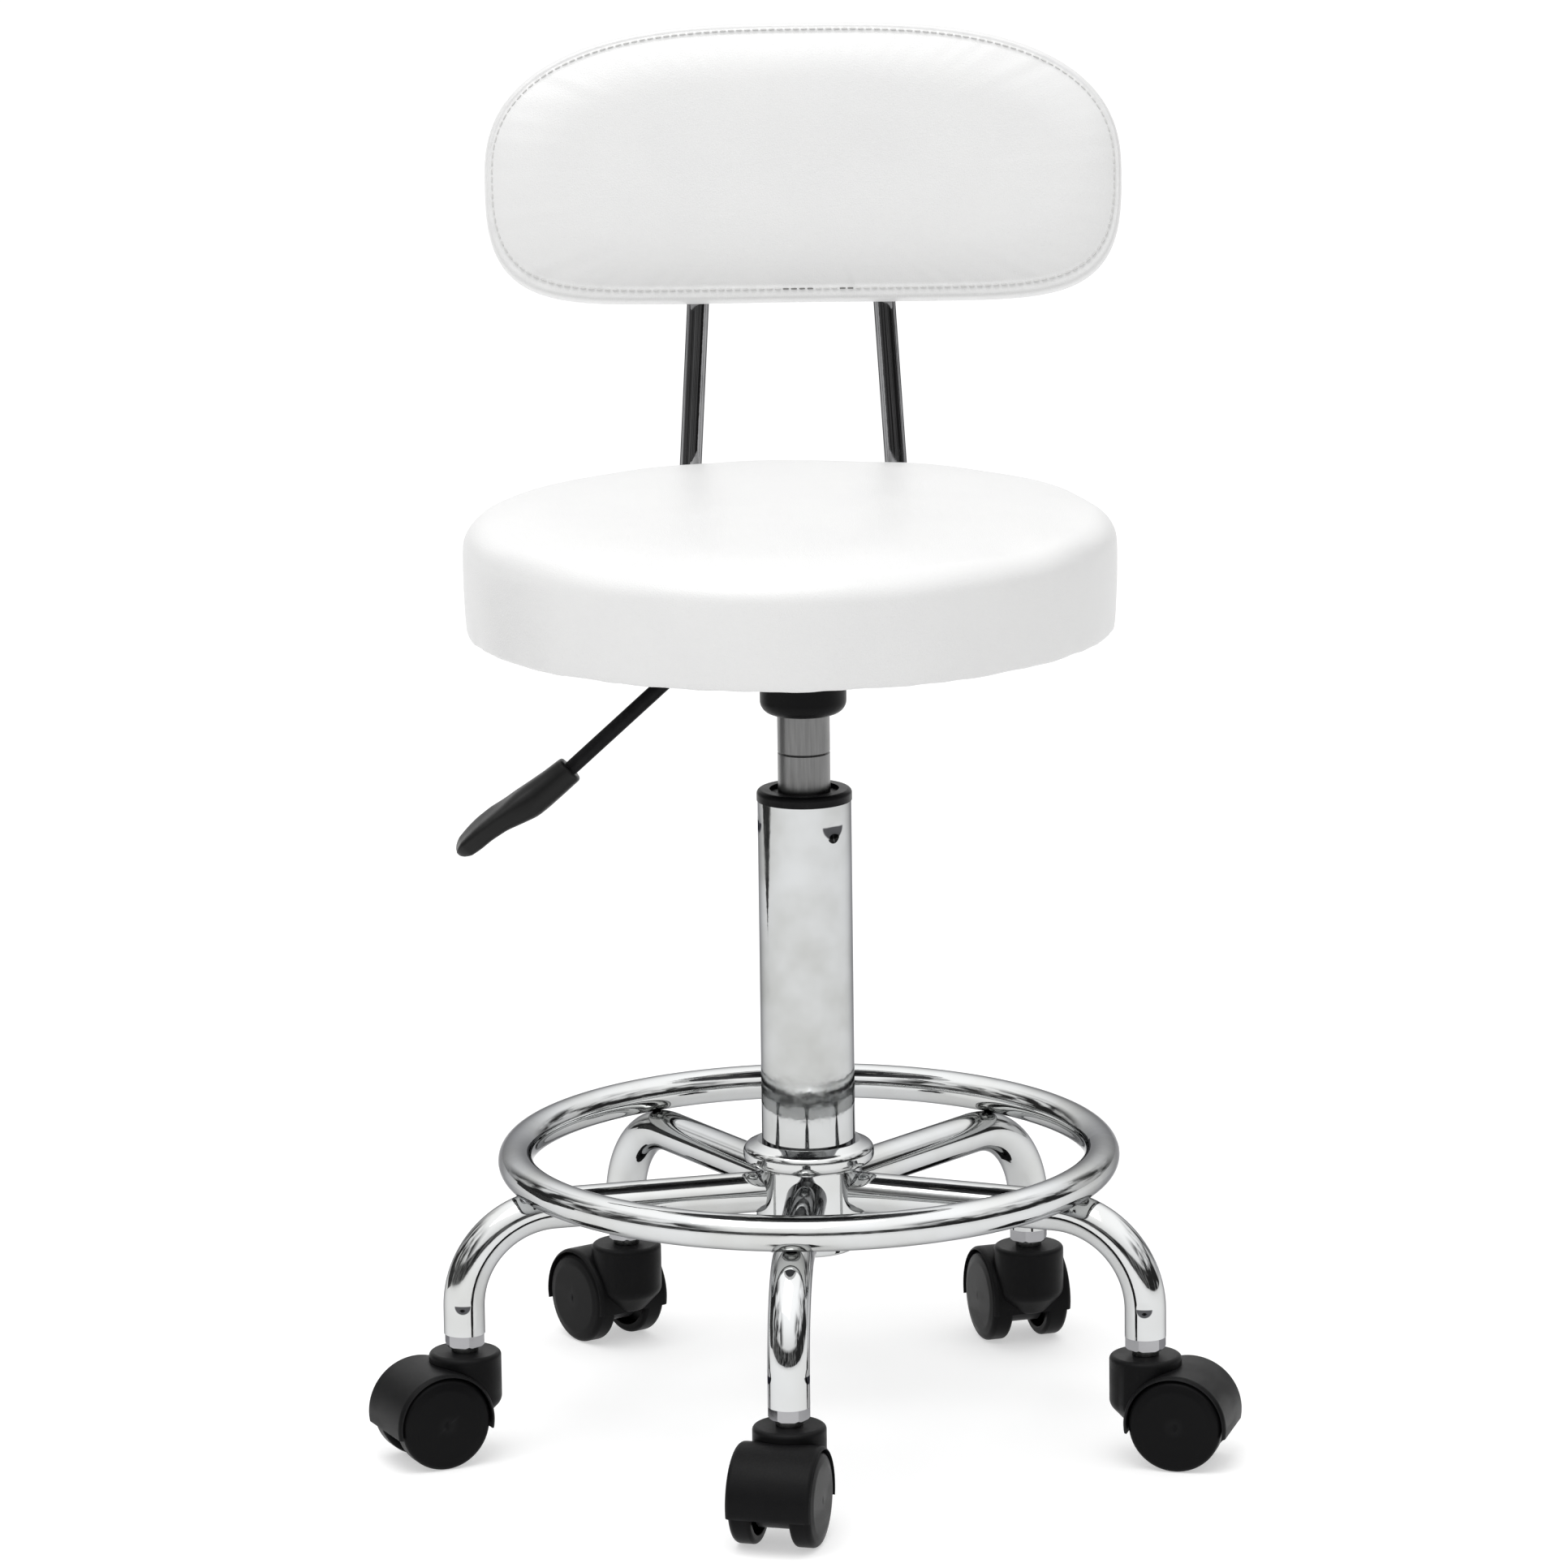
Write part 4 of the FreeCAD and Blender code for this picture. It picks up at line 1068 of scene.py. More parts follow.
@dataclass
class LeverGrip:
    """Moulded grip on the lever: a round collar that flattens into a dished thumb paddle."""

    nylon: Nylon = field(default_factory=lambda: Nylon(
        name="grip_nylon", colour=(0.007, 0.007, 0.007), worn=(0.03, 0.03, 0.03), roughness=0.32,
        grain=0.00006, specular=0.19))
    bend: Point = (-56.7 * MM, 0.0, 425 * MM)
    drop: float = math.radians(42.2)
    start: float = 90 * MM
    stations: tuple[tuple[float, float, float, float], ...] = (
        (0.0, 6.9, -7.0, 6.8), (0.9, 7.6, -7.7, 7.6), (12.0, 8.6, -7.7, 8.0), (22.7, 10.1, -7.6, 8.7),
        (30.4, 11.4, -6.9, 9.4), (38.8, 12.1, -3.7, 10.1), (46.8, 13.1, -0.4, 10.5), (56.6, 13.7, 1.3, 10.6),
        (64.0, 13.4, 1.5, 9.9), (70.4, 12.7, 2.2, 8.2), (74.2, 11.2, 3.9, 5.8), (76.2, 8.9, 6.3, 2.6))
    paddle_start: float = 24 * MM
    paddle_run: float = 22 * MM
    squareness: tuple[float, float] = (2.3, 1.2)
    roll: float = math.radians(8.0)
    dish: float = 1.1 * MM
    sides: int = 48

    def ring(self, station: Sequence[float]) -> np.ndarray:
        """One section of the grip across the lever.

        Args:
            station: distance along the grip, upper edge, lower edge and half width, in millimetres.

        Returns:
            The section's points.
        """
        along, high, low, half = (value * MM for value in station)
        turn = np.linspace(0, 2 * math.pi, self.sides, endpoint=False)
        paddle = float(np.clip((along - self.paddle_start) / self.paddle_run, 0, 1))
        power = 2 / (self.squareness[0] + self.squareness[1] * paddle)
        across = half * np.sign(np.cos(turn)) * np.abs(np.cos(turn)) ** power
        rise = (high - low) / 2 * np.sign(np.sin(turn)) * np.abs(np.sin(turn)) ** power
        dished = np.clip(1 - (across / half) ** 2, 0, 1)
        rise -= self.dish * paddle * np.where(np.sin(turn) > 0, dished, 0)
        roll = self.roll * paddle
        side = across * math.cos(roll) - rise * math.sin(roll)
        lift = across * math.sin(roll) + rise * math.cos(roll) + (high + low) / 2
        sine, cosine = math.sin(self.drop), math.cos(self.drop)
        reach = self.start + along
        return np.stack([self.bend[0] - reach * cosine - lift * sine, self.bend[1] + side,
                         self.bend[2] - reach * sine + lift * cosine], axis=1)

    def build(self, dresser: Dresser) -> bpy.types.Object:
        """Make the grip.

        Args:
            dresser: makes and gives finishes.

        Returns:
            The grip.
        """
        known = np.array(self.stations)
        places = np.concatenate([known[:2, 0], np.linspace(3, 70, 24), known[-3:, 0]])
        rings = [self.ring([place, *(np.interp(place, known[:, 0], known[:, k]) for k in (1, 2, 3))])
                 for place in places]
        points = np.concatenate(rings)
        faces: list[Sequence[int]] = [face[::-1] for face in lattice_faces(len(rings), self.sides)]
        last = (len(rings) - 1) * self.sides
        faces += [tuple(range(self.sides)), tuple(range(last + self.sides - 1, last - 1, -1))]
        grip = mesh_object("lever_thumb_grip", points, faces)
        subdivided(grip)
        dresser.dress(grip, self.nylon)
        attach(grip, "lever")
        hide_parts("lever_grip")
        LOG.info("built lever grip")
        return grip


@dataclass
class Casters:
    """Five twin-wheel casters."""

    hood: Nylon = field(default_factory=lambda: Nylon(
        name="hood_nylon", roughness=0.42, grain=0.00008))
    wheel: Nylon = field(default_factory=lambda: Nylon(
        name="wheel_nylon", colour=(0.0052, 0.0052, 0.0055), roughness=0.34, grain=0.00003,
        wear_reach=2.0, specular=0.06))
    axle: Steel = field(default_factory=lambda: Steel(name="axle_steel", roughness=0.25))

    def dress(self, dresser: Dresser) -> None:
        """Give the casters their finishes.

        Args:
            dresser: makes and gives finishes.
        """
        dresser.dress_nodes(nodes_named("_hood"), self.hood)
        dresser.dress_nodes(nodes_named("wheel_left", "wheel_right"), self.wheel)
        dresser.dress_nodes(nodes_named("_axle"), self.axle)


# ---- upholstery --------------------------------------------------------------------------------------


@dataclass
class SeatCushion:
    """Round seat: one vinyl skin drawn over foam and stapled under the board."""

    vinyl: Vinyl = field(default_factory=Vinyl)
    steps: int = 192
    edge_round: float = 15 * MM
    waist: float = 1.8 * MM
    crown: float = 2.5 * MM
    hem_width: float = 24 * MM
    start_inset: float = 1.2 * MM
    swell: float = 4.5 * MM
    hem_lift: float = 0.2 * MM
    pleat: float = 0.45 * MM
    edge_wave: float = 0.6 * MM
    pressure: float = 3.2
    staple_count: int = 36
    staple_inset: float = 17 * MM
    staple_length: float = 10 * MM
    staple_wire: float = 0.6 * MM

    def sizes(self) -> tuple[float, float, float]:
        """Return the pad's radius, underside and top, read from the frame."""
        low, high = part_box("seat_cover")
        return (high.x - low.x) / 2, low.z, high.z

    @staticmethod
    def centre() -> np.ndarray:
        """Middle of the pad in plan, read from the frame."""
        low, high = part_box("seat_cover")
        return np.array([(low.x + high.x) / 2, (low.y + high.y) / 2, 0.0])

    def profile(self) -> list[tuple[float, float]]:
        """Half section of the skin, from the hem's inner edge round to the middle of the top.

        Returns:
            Points (radius, z).
        """
        radius, low, high = self.sizes()
        side = radius - self.start_inset
        top = high - self.start_inset
        points = [(side - self.waist - self.hem_width * (1 - share), low + self.hem_lift)
                  for share in np.linspace(0, 0.94, 6)]
        points.append((side - self.waist - 0.4 * MM, low + 0.3 * MM))
        for share in np.linspace(0.03, 1.0, 11):
            z = low + (top - self.edge_round - low) * share
            points.append((side - self.waist * (1 - math.sin(share * math.pi / 2) ** 0.7), z))
        for turn in np.linspace(0, math.pi / 2, 9)[1:]:
            points.append((side - self.edge_round * (1 - math.cos(turn)),
                           top - self.edge_round * (1 - math.sin(turn))))
        rim = points[-1][0]
        for share in np.linspace(0, 1, 30)[1:-1]:
            points.append((rim * (1 - share), top + self.crown * (1 - (1 - share) ** 2)))
        return points

    def build(self, dresser: Dresser) -> bpy.types.Object:
        """Make the seat's skin, its hem and its staples.

        Args:
            dresser: makes and gives finishes.

        Returns:
            The skin.
        """
        radius, low, high = self.sizes()
        profile = self.profile()
        turn = np.linspace(0, 2 * math.pi, self.steps, endpoint=False)
        rings = [np.stack([r * np.cos(turn), r * np.sin(turn), np.full_like(turn, z)], axis=1)
                 for r, z in profile]
        points = np.concatenate([*rings, [[0.0, 0.0, high - self.start_inset + self.crown]]])
        faces = lattice_faces(len(profile), self.steps)
        faces += fan_faces(len(points) - 1, (len(profile) - 1) * self.steps, self.steps, False)
        skin = mesh_object("seat_cushion", points, faces)
        under = points[:, 2] < low + 1.0 * MM
        near = np.clip((low + 10 * MM - points[:, 2]) / (9 * MM), 0, 1)
        inflate(skin, np.where(under, 1.0, near * 0.6), self.swell, self.pressure)
        self.pull_hem(skin)
        set_points(skin, points_of(skin) + self.centre())
        subdivided(skin)
        dresser.dress(skin, self.vinyl)
        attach(skin, "seat")
        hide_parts("seat_cover", "seat_foam")
        self.staples(dresser, low)
        LOG.info("built seat cushion, %d points", len(skin.data.vertices))
        return skin

    def pull_hem(self, skin: bpy.types.Object) -> None:
        """Draw the skin in where it is stapled: faint pleats at the lower edge and under the board.

        Args:
            skin: the seat's skin.
        """
        radius, low, high = self.sizes()
        points = points_of(skin)
        angle = np.arctan2(points[:, 1], points[:, 0])
        reach = np.hypot(points[:, 0], points[:, 1])
        folds = ripple(angle, 7, (36, 52, 71, 23))
        low_side = np.exp(-np.clip(points[:, 2] - low, 0, None) / (7 * MM))
        outside = np.clip((reach - (radius - 8 * MM)) / (6 * MM), 0, 1)
        inward = self.pleat * folds * low_side * outside
        scale = 1 + inward / np.maximum(reach, 1e-6)
        points[:, 0] *= scale
        points[:, 1] *= scale
        under = (points[:, 2] < low + 1.0 * MM) & (reach > radius - 30 * MM)
        points[under, 2] += 0.3 * MM + 0.3 * MM * ripple(angle[under], 9, (60, 88, 41))
        edge = np.exp(-((points[:, 2] - low) / (3 * MM)) ** 2) * outside
        points[:, 2] += self.edge_wave * ripple(angle, 12, (5, 9, 14, 22)) * edge
        points[:, 2] = np.maximum(points[:, 2], low - self.hem_lift)
        set_points(skin, points)

    def staples(self, dresser: Dresser, low: float) -> None:
        """Drive staples through the hem.

        Args:
            dresser: makes and gives finishes.
            low: height of the pad's underside.
        """
        radius = self.sizes()[0] - self.staple_inset
        places: list[Placing] = []
        for index in range(self.staple_count):
            angle = 2 * math.pi * (index + 0.5) / self.staple_count + 0.02 * math.sin(3.1 * index)
            middle = np.array([radius * math.cos(angle), radius * math.sin(angle), low - 0.3 * MM])
            lean = angle + math.pi / 2 + 0.18 * math.sin(7.7 * index)
            places.append((middle + self.centre(), np.array([math.cos(lean), math.sin(lean), 0.0]),
                           np.array([0.0, 0.0, -1.0])))
        made = capsules("seat_staples", places, self.staple_length, self.staple_wire, 0.6)
        dresser.dress(made, Steel(name="staple_wire", roughness=0.3, lines=(1.0, 1.0, 1.0)))
        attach(made, "seat")


@dataclass
class BackCushion:
    """Backrest pad: sewn front panel, boxing round the edge, and a flat rear panel."""

    vinyl: Vinyl = field(default_factory=Vinyl)
    thread: Thread = field(default_factory=Thread)
    # Dark thread: painted shade of the puckers at the middle of the lower seam.
    dark_shade_thread: Thread = field(default_factory=lambda: Thread(
        name="painted_shade_thread", colour=(0.16, 0.16, 0.155)))
    shade_stitch_reach: float = 27 * MM
    lean: float = math.radians(10.0)
    root_y: float = 195.2 * MM
    root_z: float = 580.3 * MM
    half_width: float = 173 * MM
    height: float = 152 * MM
    thick: float = 45 * MM
    middle_share: float = 0.46
    upper_powers: tuple[float, float] = (2.9, 2.4)
    lower_powers: tuple[float, float] = (7.4, 3.0)
    steps: int = 240
    seam_inset: float = 3.5 * MM
    seam_rise: float = 3.2 * MM
    shoulder: float = 8.0 * MM
    shoulder_reach: float = 34 * MM
    swell: float = 2.2 * MM
    pressure: float = 3.4
    stitch_pitch: float = 4.4 * MM
    stitch_share: float = 0.74
    stitch_radius: float = 0.42 * MM
    stitch_inset: float = 2.2 * MM
    stitch_lift: float = 0.15 * MM
    rear_lift: float = 0.3 * MM
    even_reach: tuple[float, float] = (146 * MM, 60 * MM)

    def at(self, x: np.ndarray, u: np.ndarray, w: np.ndarray) -> np.ndarray:
        """Points of the backrest's own frame in the row frame.

        Args:
            x: sideways from the pad's middle.
            u: up along the lean, from the pad's bottom edge.
            w: forward from the rear face.

        Returns:
            One row for each point.
        """
        sine, cosine = math.sin(self.lean), math.cos(self.lean)
        low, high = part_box("back_cover")
        return np.stack([(low.x + high.x) / 2 + x, self.root_y + u * sine - w * cosine,
                         self.root_z + u * cosine + w * sine], axis=-1)

    def own_frame(self, points: np.ndarray) -> tuple[np.ndarray, np.ndarray, np.ndarray]:
        """Points of the row frame in the backrest's own frame.

        Args:
            points: one row for each point.

        Returns:
            x, u and w, as in at.
        """
        sine, cosine = math.sin(self.lean), math.cos(self.lean)
        away = points - self.at(np.zeros(1), np.zeros(1), np.zeros(1))
        return away[:, 0], away[:, 1] * sine + away[:, 2] * cosine, away[:, 2] * sine - away[:, 1] * cosine

    def forward(self) -> np.ndarray:
        """Direction out of the front panel."""
        return np.array([0.0, -math.cos(self.lean), math.sin(self.lean)])

    def outline(self, inset: float | np.ndarray, turn: np.ndarray) -> tuple[np.ndarray, np.ndarray]:
        """Outline of the pad, drawn in from its edge.

        Args:
            inset: distance from the edge.
            turn: angles round the outline.

        Returns:
            x and u of each point.
        """
        middle = self.height * self.middle_share
        cosine, sine = np.cos(turn), np.sin(turn)
        upper = sine > 0
        rise = np.where(upper, self.height - middle, middle) - inset
        across = np.where(upper, self.upper_powers[0], self.lower_powers[0])
        along = np.where(upper, self.upper_powers[1], self.lower_powers[1])
        x = (self.half_width - inset) * np.sign(cosine) * np.abs(cosine) ** (2 / across)
        u = middle + rise * np.sign(sine) * np.abs(sine) ** (2 / along)
        return x, u

    def even_turns(self) -> np.ndarray:
        """Angles whose outline points lie at even distances."""
        fine = np.linspace(0, 2 * math.pi, 4001)
        x, u = self.outline(0.0, fine)
        run = np.concatenate([[0], np.cumsum(np.hypot(np.diff(x), np.diff(u)))])
        return np.interp(np.linspace(0, run[-1], self.steps, endpoint=False), run, fine)

    def front_rings(self, turn: np.ndarray) -> list[tuple[np.ndarray, float]]:
        """Rings of the front panel from its middle out to the seam.

        Args:
            turn: angles of the outline's points.

        Returns:
            Each ring's points and how firmly it is held.
        """
        seam = self.seam_inset + self.seam_rise * np.clip(-np.sin(turn), 0, 1) ** 1.5
        middle = self.height * self.middle_share
        rings = []
        inward = np.array([60, 52, 44, 37, 31, 26, 21.5, 17.5, 14, 11,
                           8.5, 6.2, 4.3, 2.8, 1.5, 0.6, 0]) * MM
        x, u = self.outline(seam + inward[0], turn)
        face = np.full_like(x, self.thick)
        for share in np.linspace(0.08, 0.9, 9):
            rings.append((self.at(x * share, middle + (u - middle) * share, face), 0.0))
        for depth in inward:
            x, u = self.outline(seam + depth, turn)
            fall = self.shoulder * np.clip(1 - depth / self.shoulder_reach, 0, 1) ** 2.4
            tuck = 0.8 * MM * math.exp(-depth / (1.2 * MM))
            height = np.full_like(x, self.thick - fall - tuck)
            rings.append((self.at(x, u, height), 1.0 if depth < 1 * MM else 0.0))
        return rings

    def side_rings(self, turn: np.ndarray) -> list[tuple[np.ndarray, float]]:
        """Rings of the boxing strip and the rear panel, from the seam round to the middle of the back.

        Args:
            turn: angles of the outline's points.

        Returns:
            Each ring's points and how firmly it is held.
        """
        seam = self.seam_inset + self.seam_rise * np.clip(-np.sin(turn), 0, 1) ** 1.5
        front = self.thick - self.shoulder
        middle = self.height * self.middle_share
        rings = []
        for share, drawn_in, depth, hold in (
                (0.75, 0.0, front - 0.9 * MM, 1.0), (0.45, 0.0, front - 0.3 * MM, 0.7),
                (0.18, 0.1 * MM, front - 1.6 * MM, 0.2), (0.05, 0.15 * MM, front - 4.5 * MM, 0.1),
                (0.0, 0.0, front - 9.0 * MM, 0.1), (0.0, -0.5 * MM, front - 15.0 * MM, 0.1),
                (0.0, -0.5 * MM, front - 21.0 * MM, 0.1), (0.0, 0.0, 9.0 * MM, 0.1),
                (0.0, 0.7 * MM, 4.2 * MM, 0.2), (0.0, 2.0 * MM, 1.6 * MM, 0.7),
                (0.0, 3.4 * MM, 0.9 * MM, 1.0)):
            x, u = self.outline(seam * share + drawn_in, turn)
            rings.append((self.at(x, u, np.full_like(x, depth)), hold))
        x, u = self.outline(4.2 * MM, turn)
        rear = np.full_like(x, self.rear_lift)
        for share in np.linspace(1.0, 0.06, 18):
            rings.append((self.at(x * share, middle + (u - middle) * share, rear), 1.0))
        return rings

    def build(self, dresser: Dresser) -> bpy.types.Object:
        """Make the pad's skin and its stitching.

        Args:
            dresser: makes and gives finishes.

        Returns:
            The skin.
        """
        turn = self.even_turns()
        front = self.front_rings(turn)
        rings = front + self.side_rings(turn)
        middle = self.height * self.middle_share
        ends = self.at(np.zeros(2), np.full(2, middle), np.array([self.thick, self.rear_lift]))
        points = np.concatenate([*(ring for ring, _ in rings), ends])
        faces = lattice_faces(len(rings), self.steps)
        faces += fan_faces(len(points) - 2, 0, self.steps, True)
        faces += fan_faces(len(points) - 1, (len(rings) - 1) * self.steps, self.steps, False)
        skin = mesh_object("back_cushion", points, faces)
        hold = np.concatenate([np.repeat([hold for _, hold in rings], self.steps), [0.0, 1.0]])
        inflate(skin, hold, self.swell, self.pressure)
        self.pucker(skin)
        self.stitching(skin, len(front), dresser)
        subdivided(skin)
        self.evened(skin)
        dresser.dress(skin, self.vinyl)
        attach(skin, "seat")
        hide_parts("back_cover", "back_foam")
        LOG.info("built back cushion, %d points", len(skin.data.vertices))
        return skin

    def pucker(self, skin: bpy.types.Object) -> None:
        """Gather the vinyl along the seam, most at the middle of the lower edge.

        Args:
            skin: the pad's skin.
        """
        points = points_of(skin)
        x, u, w = self.own_frame(points)
        angle = np.arctan2(u - self.height * self.middle_share, x)
        near_seam = np.exp(-((w - self.thick + self.shoulder) / (5 * MM)) ** 2)
        low_edge = np.exp(-(u / (10 * MM)) ** 2)
        everywhere = 0.00016 * ripple(angle, 21, (95, 71, 60, 44)) * near_seam
        gathers = 0.0013 * ripple(x / 0.02, 5, (9, 13, 16)) * np.exp(-(x / 0.04) ** 2)
        push = everywhere + gathers * near_seam * low_edge
        set_points(skin, points + push[:, None] * self.forward())

    def evened(self, skin: bpy.types.Object) -> None:
        """Even out the middle of the front panel, where the rings of points run together.

        Args:
            skin: the pad's skin, after subdivision.
        """
        points = points_of(skin)
        x, u, w = self.own_frame(points)
        a, b = x / self.even_reach[0], (u - self.height * self.middle_share) / self.even_reach[1]
        spread = np.hypot(a, b)
        front = w > self.thick - self.shoulder
        used = front & (spread < 1.1)
        terms = np.stack([a ** i * b ** j for i in range(5) for j in range(5 - i)], axis=1)
        weight = 0.1 + spread[used]
        fit = np.linalg.lstsq(terms[used] * weight[:, None], w[used] * weight, rcond=None)[0]
        inside = np.clip((1 - spread) / 0.5, 0, 1)
        share = inside ** 2 * (3 - 2 * inside) * front
        set_points(skin, points + ((terms @ fit - w) * share)[:, None] * self.forward())

    def stitching(self, skin: bpy.types.Object, panel_rings: int, dresser: Dresser) -> None:
        """Lay the topstitching on the front panel just inside its seam, with dark stitches as painted shade
        near the middle of the lower edge.

        Args:
            skin: the pad's skin, before subdivision.
            panel_rings: how many rings the front panel has.
            dresser: makes and gives finishes.
        """
        points = points_of(skin)
        seam = points[(panel_rings - 1) * self.steps:panel_rings * self.steps]
        inside = points[(panel_rings - 2) * self.steps:(panel_rings - 1) * self.steps]
        apart = np.linalg.norm(inside - seam, axis=1, keepdims=True)
        line = seam + (inside - seam) * np.clip(self.stitch_inset / apart, 0, 1)
        loop = np.concatenate([line, line[:1]])
        run = np.concatenate([[0], np.cumsum(np.linalg.norm(np.diff(loop, axis=0), axis=1))])
        count = int(run[-1] / self.stitch_pitch)
        forward = self.forward()
        places: list[Placing] = []
        shade_stitches: list[Placing] = []
        middle_x = float(seam[:, 0].min() + seam[:, 0].max()) / 2
        middle_z = float(seam[:, 2].min() + seam[:, 2].max()) / 2
        for index in range(count):
            reach = run[-1] * index / count
            here = np.array([np.interp(reach, run, loop[:, k]) for k in range(3)])
            on = np.array([np.interp((reach + 1 * MM) % run[-1], run, loop[:, k]) for k in range(3)])
            along = (on - here) / max(np.linalg.norm(on - here), 1e-9)
            outward = forward - along * np.dot(forward, along)
            outward /= np.linalg.norm(outward)
            # Near the middle of the lower edge, four of every seven stitches are dark, as painted shade.
            near_middle = here[2] < middle_z and abs(here[0] - middle_x) < self.shade_stitch_reach
            row = shade_stitches if near_middle and index % 7 < 4 else places
            row.append((here + outward * self.stitch_lift, along, outward))
        for name, rows, thread in (("back_stitching", places, self.thread),
                                   ("back_painted_shade_stitches", shade_stitches, self.dark_shade_thread)):
            made = capsules(name, rows, self.stitch_pitch * self.stitch_share, self.stitch_radius, 0.8)
            dresser.dress(made, thread)
            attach(made, "seat")


@dataclass
class Boards:
    """Plywood boards, foam, dust cloth and back rods."""

    plywood: Plywood = field(default_factory=Plywood)
    cloth: DustCloth = field(default_factory=DustCloth)
    chrome: Chrome = field(default_factory=lambda: Chrome(
        name="rod_chrome", colour=(0.34, 0.34, 0.345), mottle_and_reflection_colour=(0.24, 0.24, 0.245),
        edge_tint=(0.06, 0.06, 0.06)))
    foam: Foam = field(default_factory=Foam)

    def dress(self, dresser: Dresser) -> None:
        """Give the hidden structure and the rods their finishes.

        Args:
            dresser: makes and gives finishes.
        """
        dresser.dress_nodes(["seat_board", "back_board"], self.plywood)
        dresser.dress_nodes(["seat_dust_cover"], self.cloth)
        dresser.dress_nodes(["back_rod_left", "back_rod_right"], self.chrome)
        dresser.dress_nodes(["seat_foam", "back_foam"], self.foam)


# ---- studio ------------------------------------------------------------------------------------------


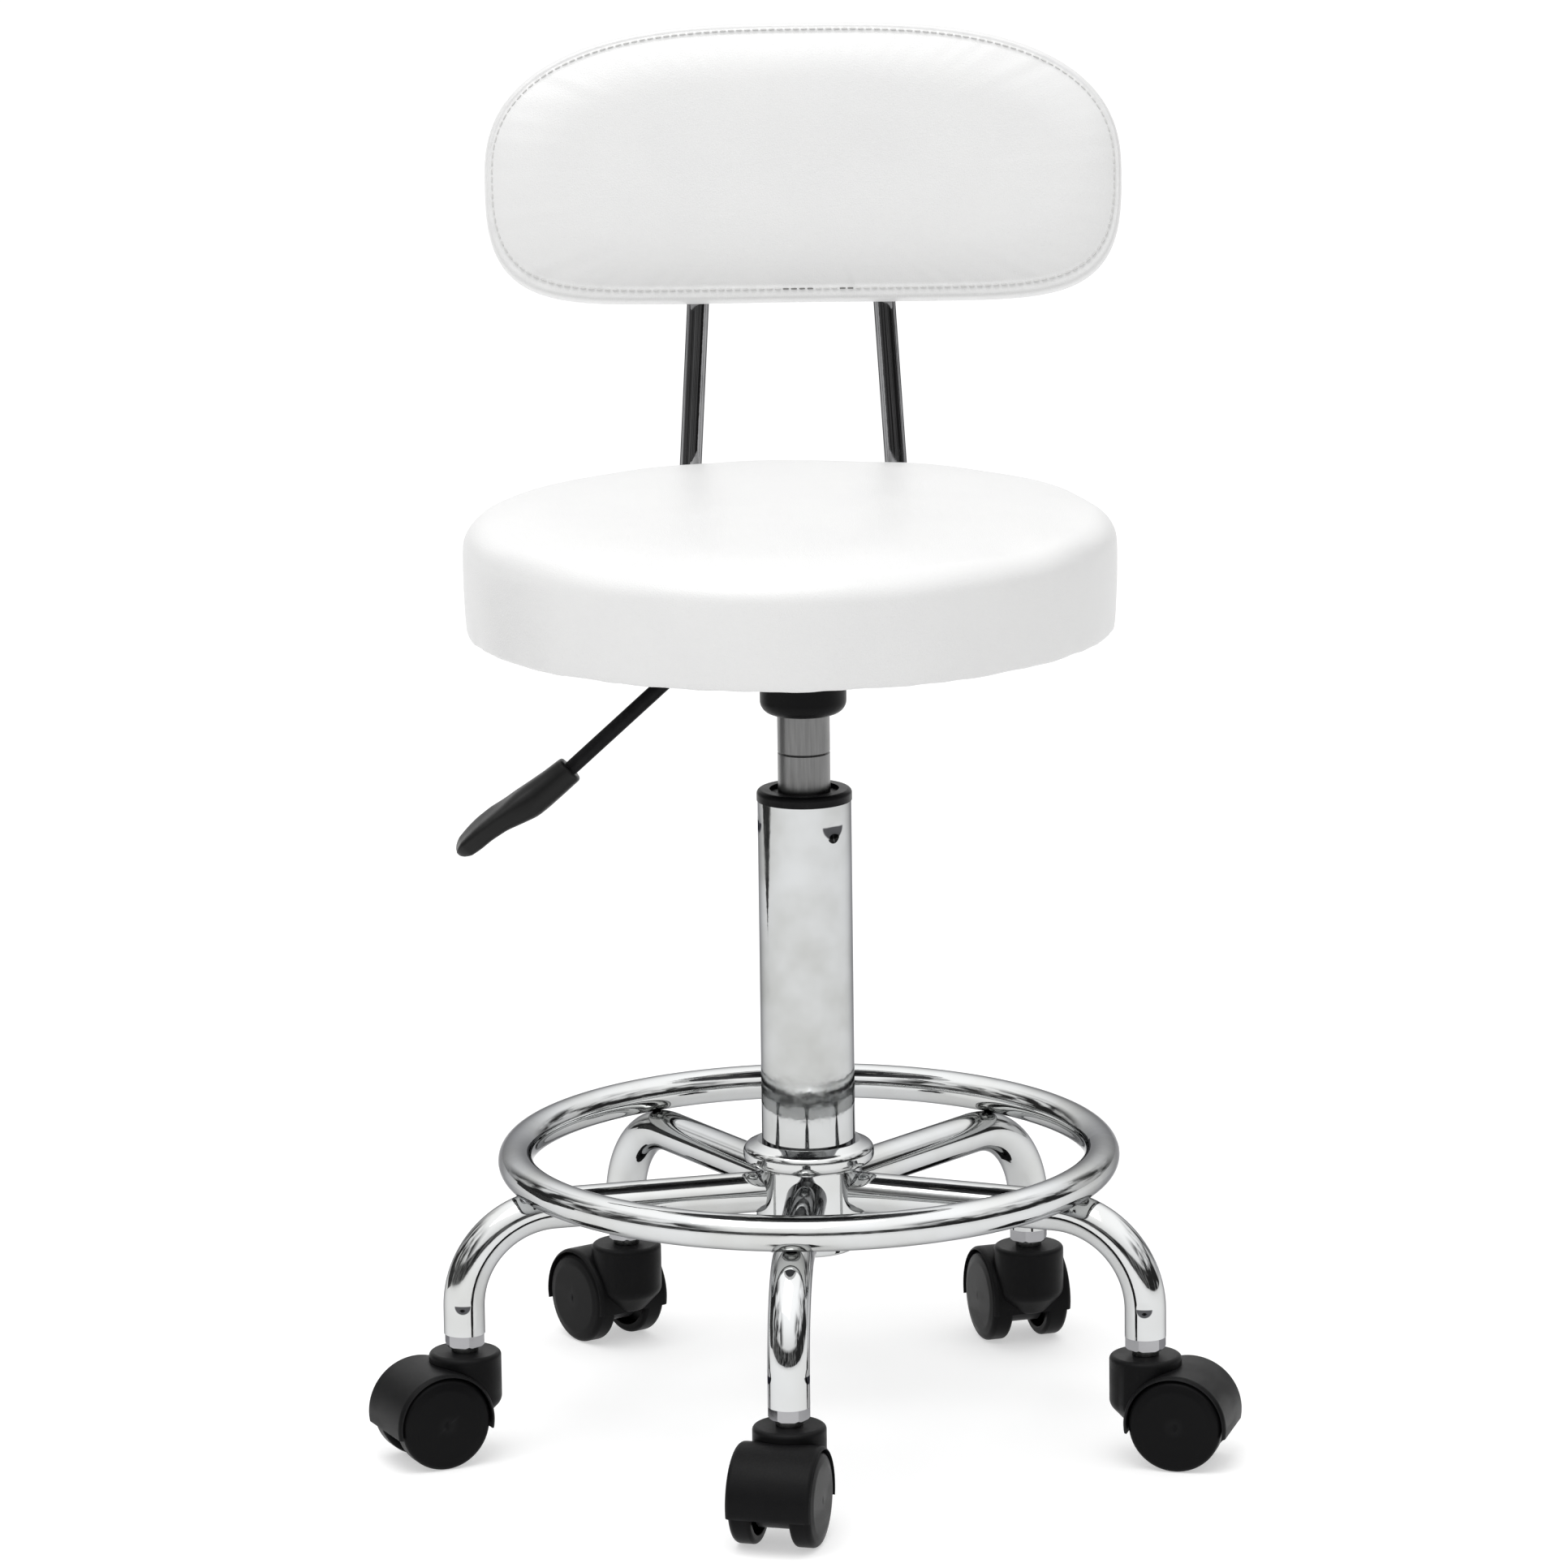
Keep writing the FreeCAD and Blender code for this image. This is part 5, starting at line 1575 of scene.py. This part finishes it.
@dataclass
class Studio:
    """Pale floor, soft light and the camera."""

    camera_place: Point = (-10.7 * MM, -4370.6 * MM, 1333.2 * MM)
    camera_target: Point = (-10.7 * MM, 0.0, 354.3 * MM)
    camera_roll: float = math.radians(-0.75)
    lens: float = 193.8
    floor_size: float = 60.0
    softbox_place: Point = (-0.5, -1.1, 3.2)
    softbox_target: Point = (0.0, 0.0, 0.4)
    softbox_size: float = 2.4
    softbox_power: float = 57.0
    card_place: Point = (-1.10, 0.36, 0.0)
    card_half: tuple[float, float] = (0.12, 0.38)
    card_heights: tuple[float, float] = (0.09, 0.30)

    def build(self, dresser: Dresser) -> None:
        """Make the floor, the lights, the surroundings and the camera.

        Args:
            dresser: makes and gives finishes.
        """
        half = self.floor_size / 2
        corners = np.array([(x * half, y * half, 0.0) for x, y in ((-1, -1), (1, -1), (1, 1), (-1, 1))])
        floor = mesh_object("studio_floor", corners, [(0, 1, 2, 3)])
        dresser.dress(floor, FloorPaint())
        self.dark_card(dresser)
        self.surroundings()
        self.softbox()
        self.camera()
        scene = bpy.context.scene
        scene.view_settings.view_transform = "Standard"
        scene.view_settings.look = "None"
        LOG.info("built studio")

    def dark_card(self, dresser: Dresser) -> None:
        """Stand a dark wedge of card beside the set, which only shows as a line in the column's chrome.

        Args:
            dresser: makes and gives finishes.
        """
        x, y, z = self.card_place
        (across, along), (low, high) = self.card_half, self.card_heights
        corners = np.array([(x, y, z), (x - across, y - along, low), (x - across, y - along, high),
                            (x + across, y + along, high), (x + across, y + along, low)])
        card = mesh_object("dark_card", corners, [(0, 1, 2, 3, 4)])
        dresser.dress(card, Rubber(name="card_board"))
        card.visible_camera = card.visible_diffuse = card.visible_shadow = False

    def softbox(self) -> None:
        """Hang a soft square light above the front."""
        lamp = bpy.data.lights.new("front_softbox", "AREA")
        lamp.shape = "SQUARE"
        lamp.size = self.softbox_size
        lamp.energy = self.softbox_power
        holder = bpy.data.objects.new("front_softbox", lamp)
        holder.location = self.softbox_place
        aim = Vector(self.softbox_target) - Vector(self.softbox_place)
        holder.rotation_euler = aim.to_track_quat("-Z", "Y").to_euler()
        bpy.context.scene.collection.objects.link(holder)

    def surroundings(self) -> None:
        """Studio walls: soft light from above, and for reflections a dark front and broken dark flanks."""
        world = bpy.data.worlds.new("studio_walls")
        world.use_nodes = True
        world.node_tree.nodes.clear()
        tree = Tree(world.node_tree)
        direction = tree.add("ShaderNodeTexCoord").outputs["Generated"]
        parts = tree.add("ShaderNodeSeparateXYZ", {0: direction})
        side, depth, height = parts.outputs[0], parts.outputs[1], parts.outputs[2]
        soft = tree.remap(height, -0.1, 1.0, 0.17, 1.14)
        rise = tree.remap(height, 0.0, 0.02, 0.0, 1.0)
        front = tree.math("MULTIPLY", tree.remap(depth, -0.3, 0.3, 1.0, 0.0),
                          tree.remap(height, 0.24, 0.33, 1.0, 0.0))
        patches = tree.remap(tree.noise(direction, 9.0, 2.0), 0.35, 0.6, 0.82, 1.0)
        front = tree.math("MULTIPLY", front, patches)
        broken = tree.remap(tree.noise(direction, 3.2, 3.0), 0.38, 0.56, 0.15, 1.0)
        flank = tree.math("MULTIPLY", tree.remap(tree.math("ABSOLUTE", side), 0.4, 0.7, 0.0, 1.0),
                          tree.remap(height, 0.5, 0.8, 1.0, 0.0))
        flank = tree.math("MULTIPLY", flank, broken)
        dark = tree.math("MULTIPLY", rise, tree.math("MAXIMUM", front, flank))
        mirrored = tree.math("MULTIPLY", tree.remap(height, 0.0, 0.9, 0.9, 1.6),
                             tree.math("SUBTRACT", 1.0, tree.math("MULTIPLY", dark, 0.97)))
        rays = tree.add("ShaderNodeLightPath")
        chosen = tree.add("ShaderNodeMix", {0: rays.outputs["Is Glossy Ray"], 2: soft, 3: mirrored},
                          data_type="FLOAT").outputs[0]
        light = tree.add("ShaderNodeCombineXYZ", {0: chosen, 1: chosen, 2: chosen}).outputs[0]
        shown = tree.mix(rays.outputs["Is Camera Ray"], light, (1.0, 1.0, 1.0))
        back = tree.add("ShaderNodeBackground", {0: shown, 1: 1.0})
        output = tree.add("ShaderNodeOutputWorld")
        world.node_tree.links.new(back.outputs[0], output.inputs[0])
        bpy.context.scene.world = world

    def camera(self) -> None:
        """Place the camera."""
        data = bpy.data.cameras.new("camera")
        data.sensor_width = 36.0
        data.lens = self.lens
        data.clip_end = 100.0
        holder = bpy.data.objects.new("camera", data)
        place, target = Vector(self.camera_place), Vector(self.camera_target)
        aim = (target - place).to_track_quat("-Z", "Y").to_matrix().to_4x4()
        holder.matrix_world = Matrix.Translation(place) @ aim @ Matrix.Rotation(self.camera_roll, 4, "Z")
        bpy.context.scene.collection.objects.link(holder)
        bpy.context.scene.camera = holder


def main() -> None:
    """Build every sub-assembly in order."""
    logging.basicConfig(level=logging.INFO, format="%(name)s: %(message)s")
    dresser = Dresser()
    SeatCushion().build(dresser)
    BackCushion().build(dresser)
    LeverGrip().build(dresser)
    for section in (Boards(), Base(), GasLift(), Mechanism(), Casters()):
        section.dress(dresser)
    Studio().build(dresser)
    bare = sorted(set(FRAME["nodes"]) - dresser.finished - REMADE_HERE)
    if bare:
        raise ValueError("no finish given to " + ", ".join(bare))


if __name__ == "__main__":
    main()
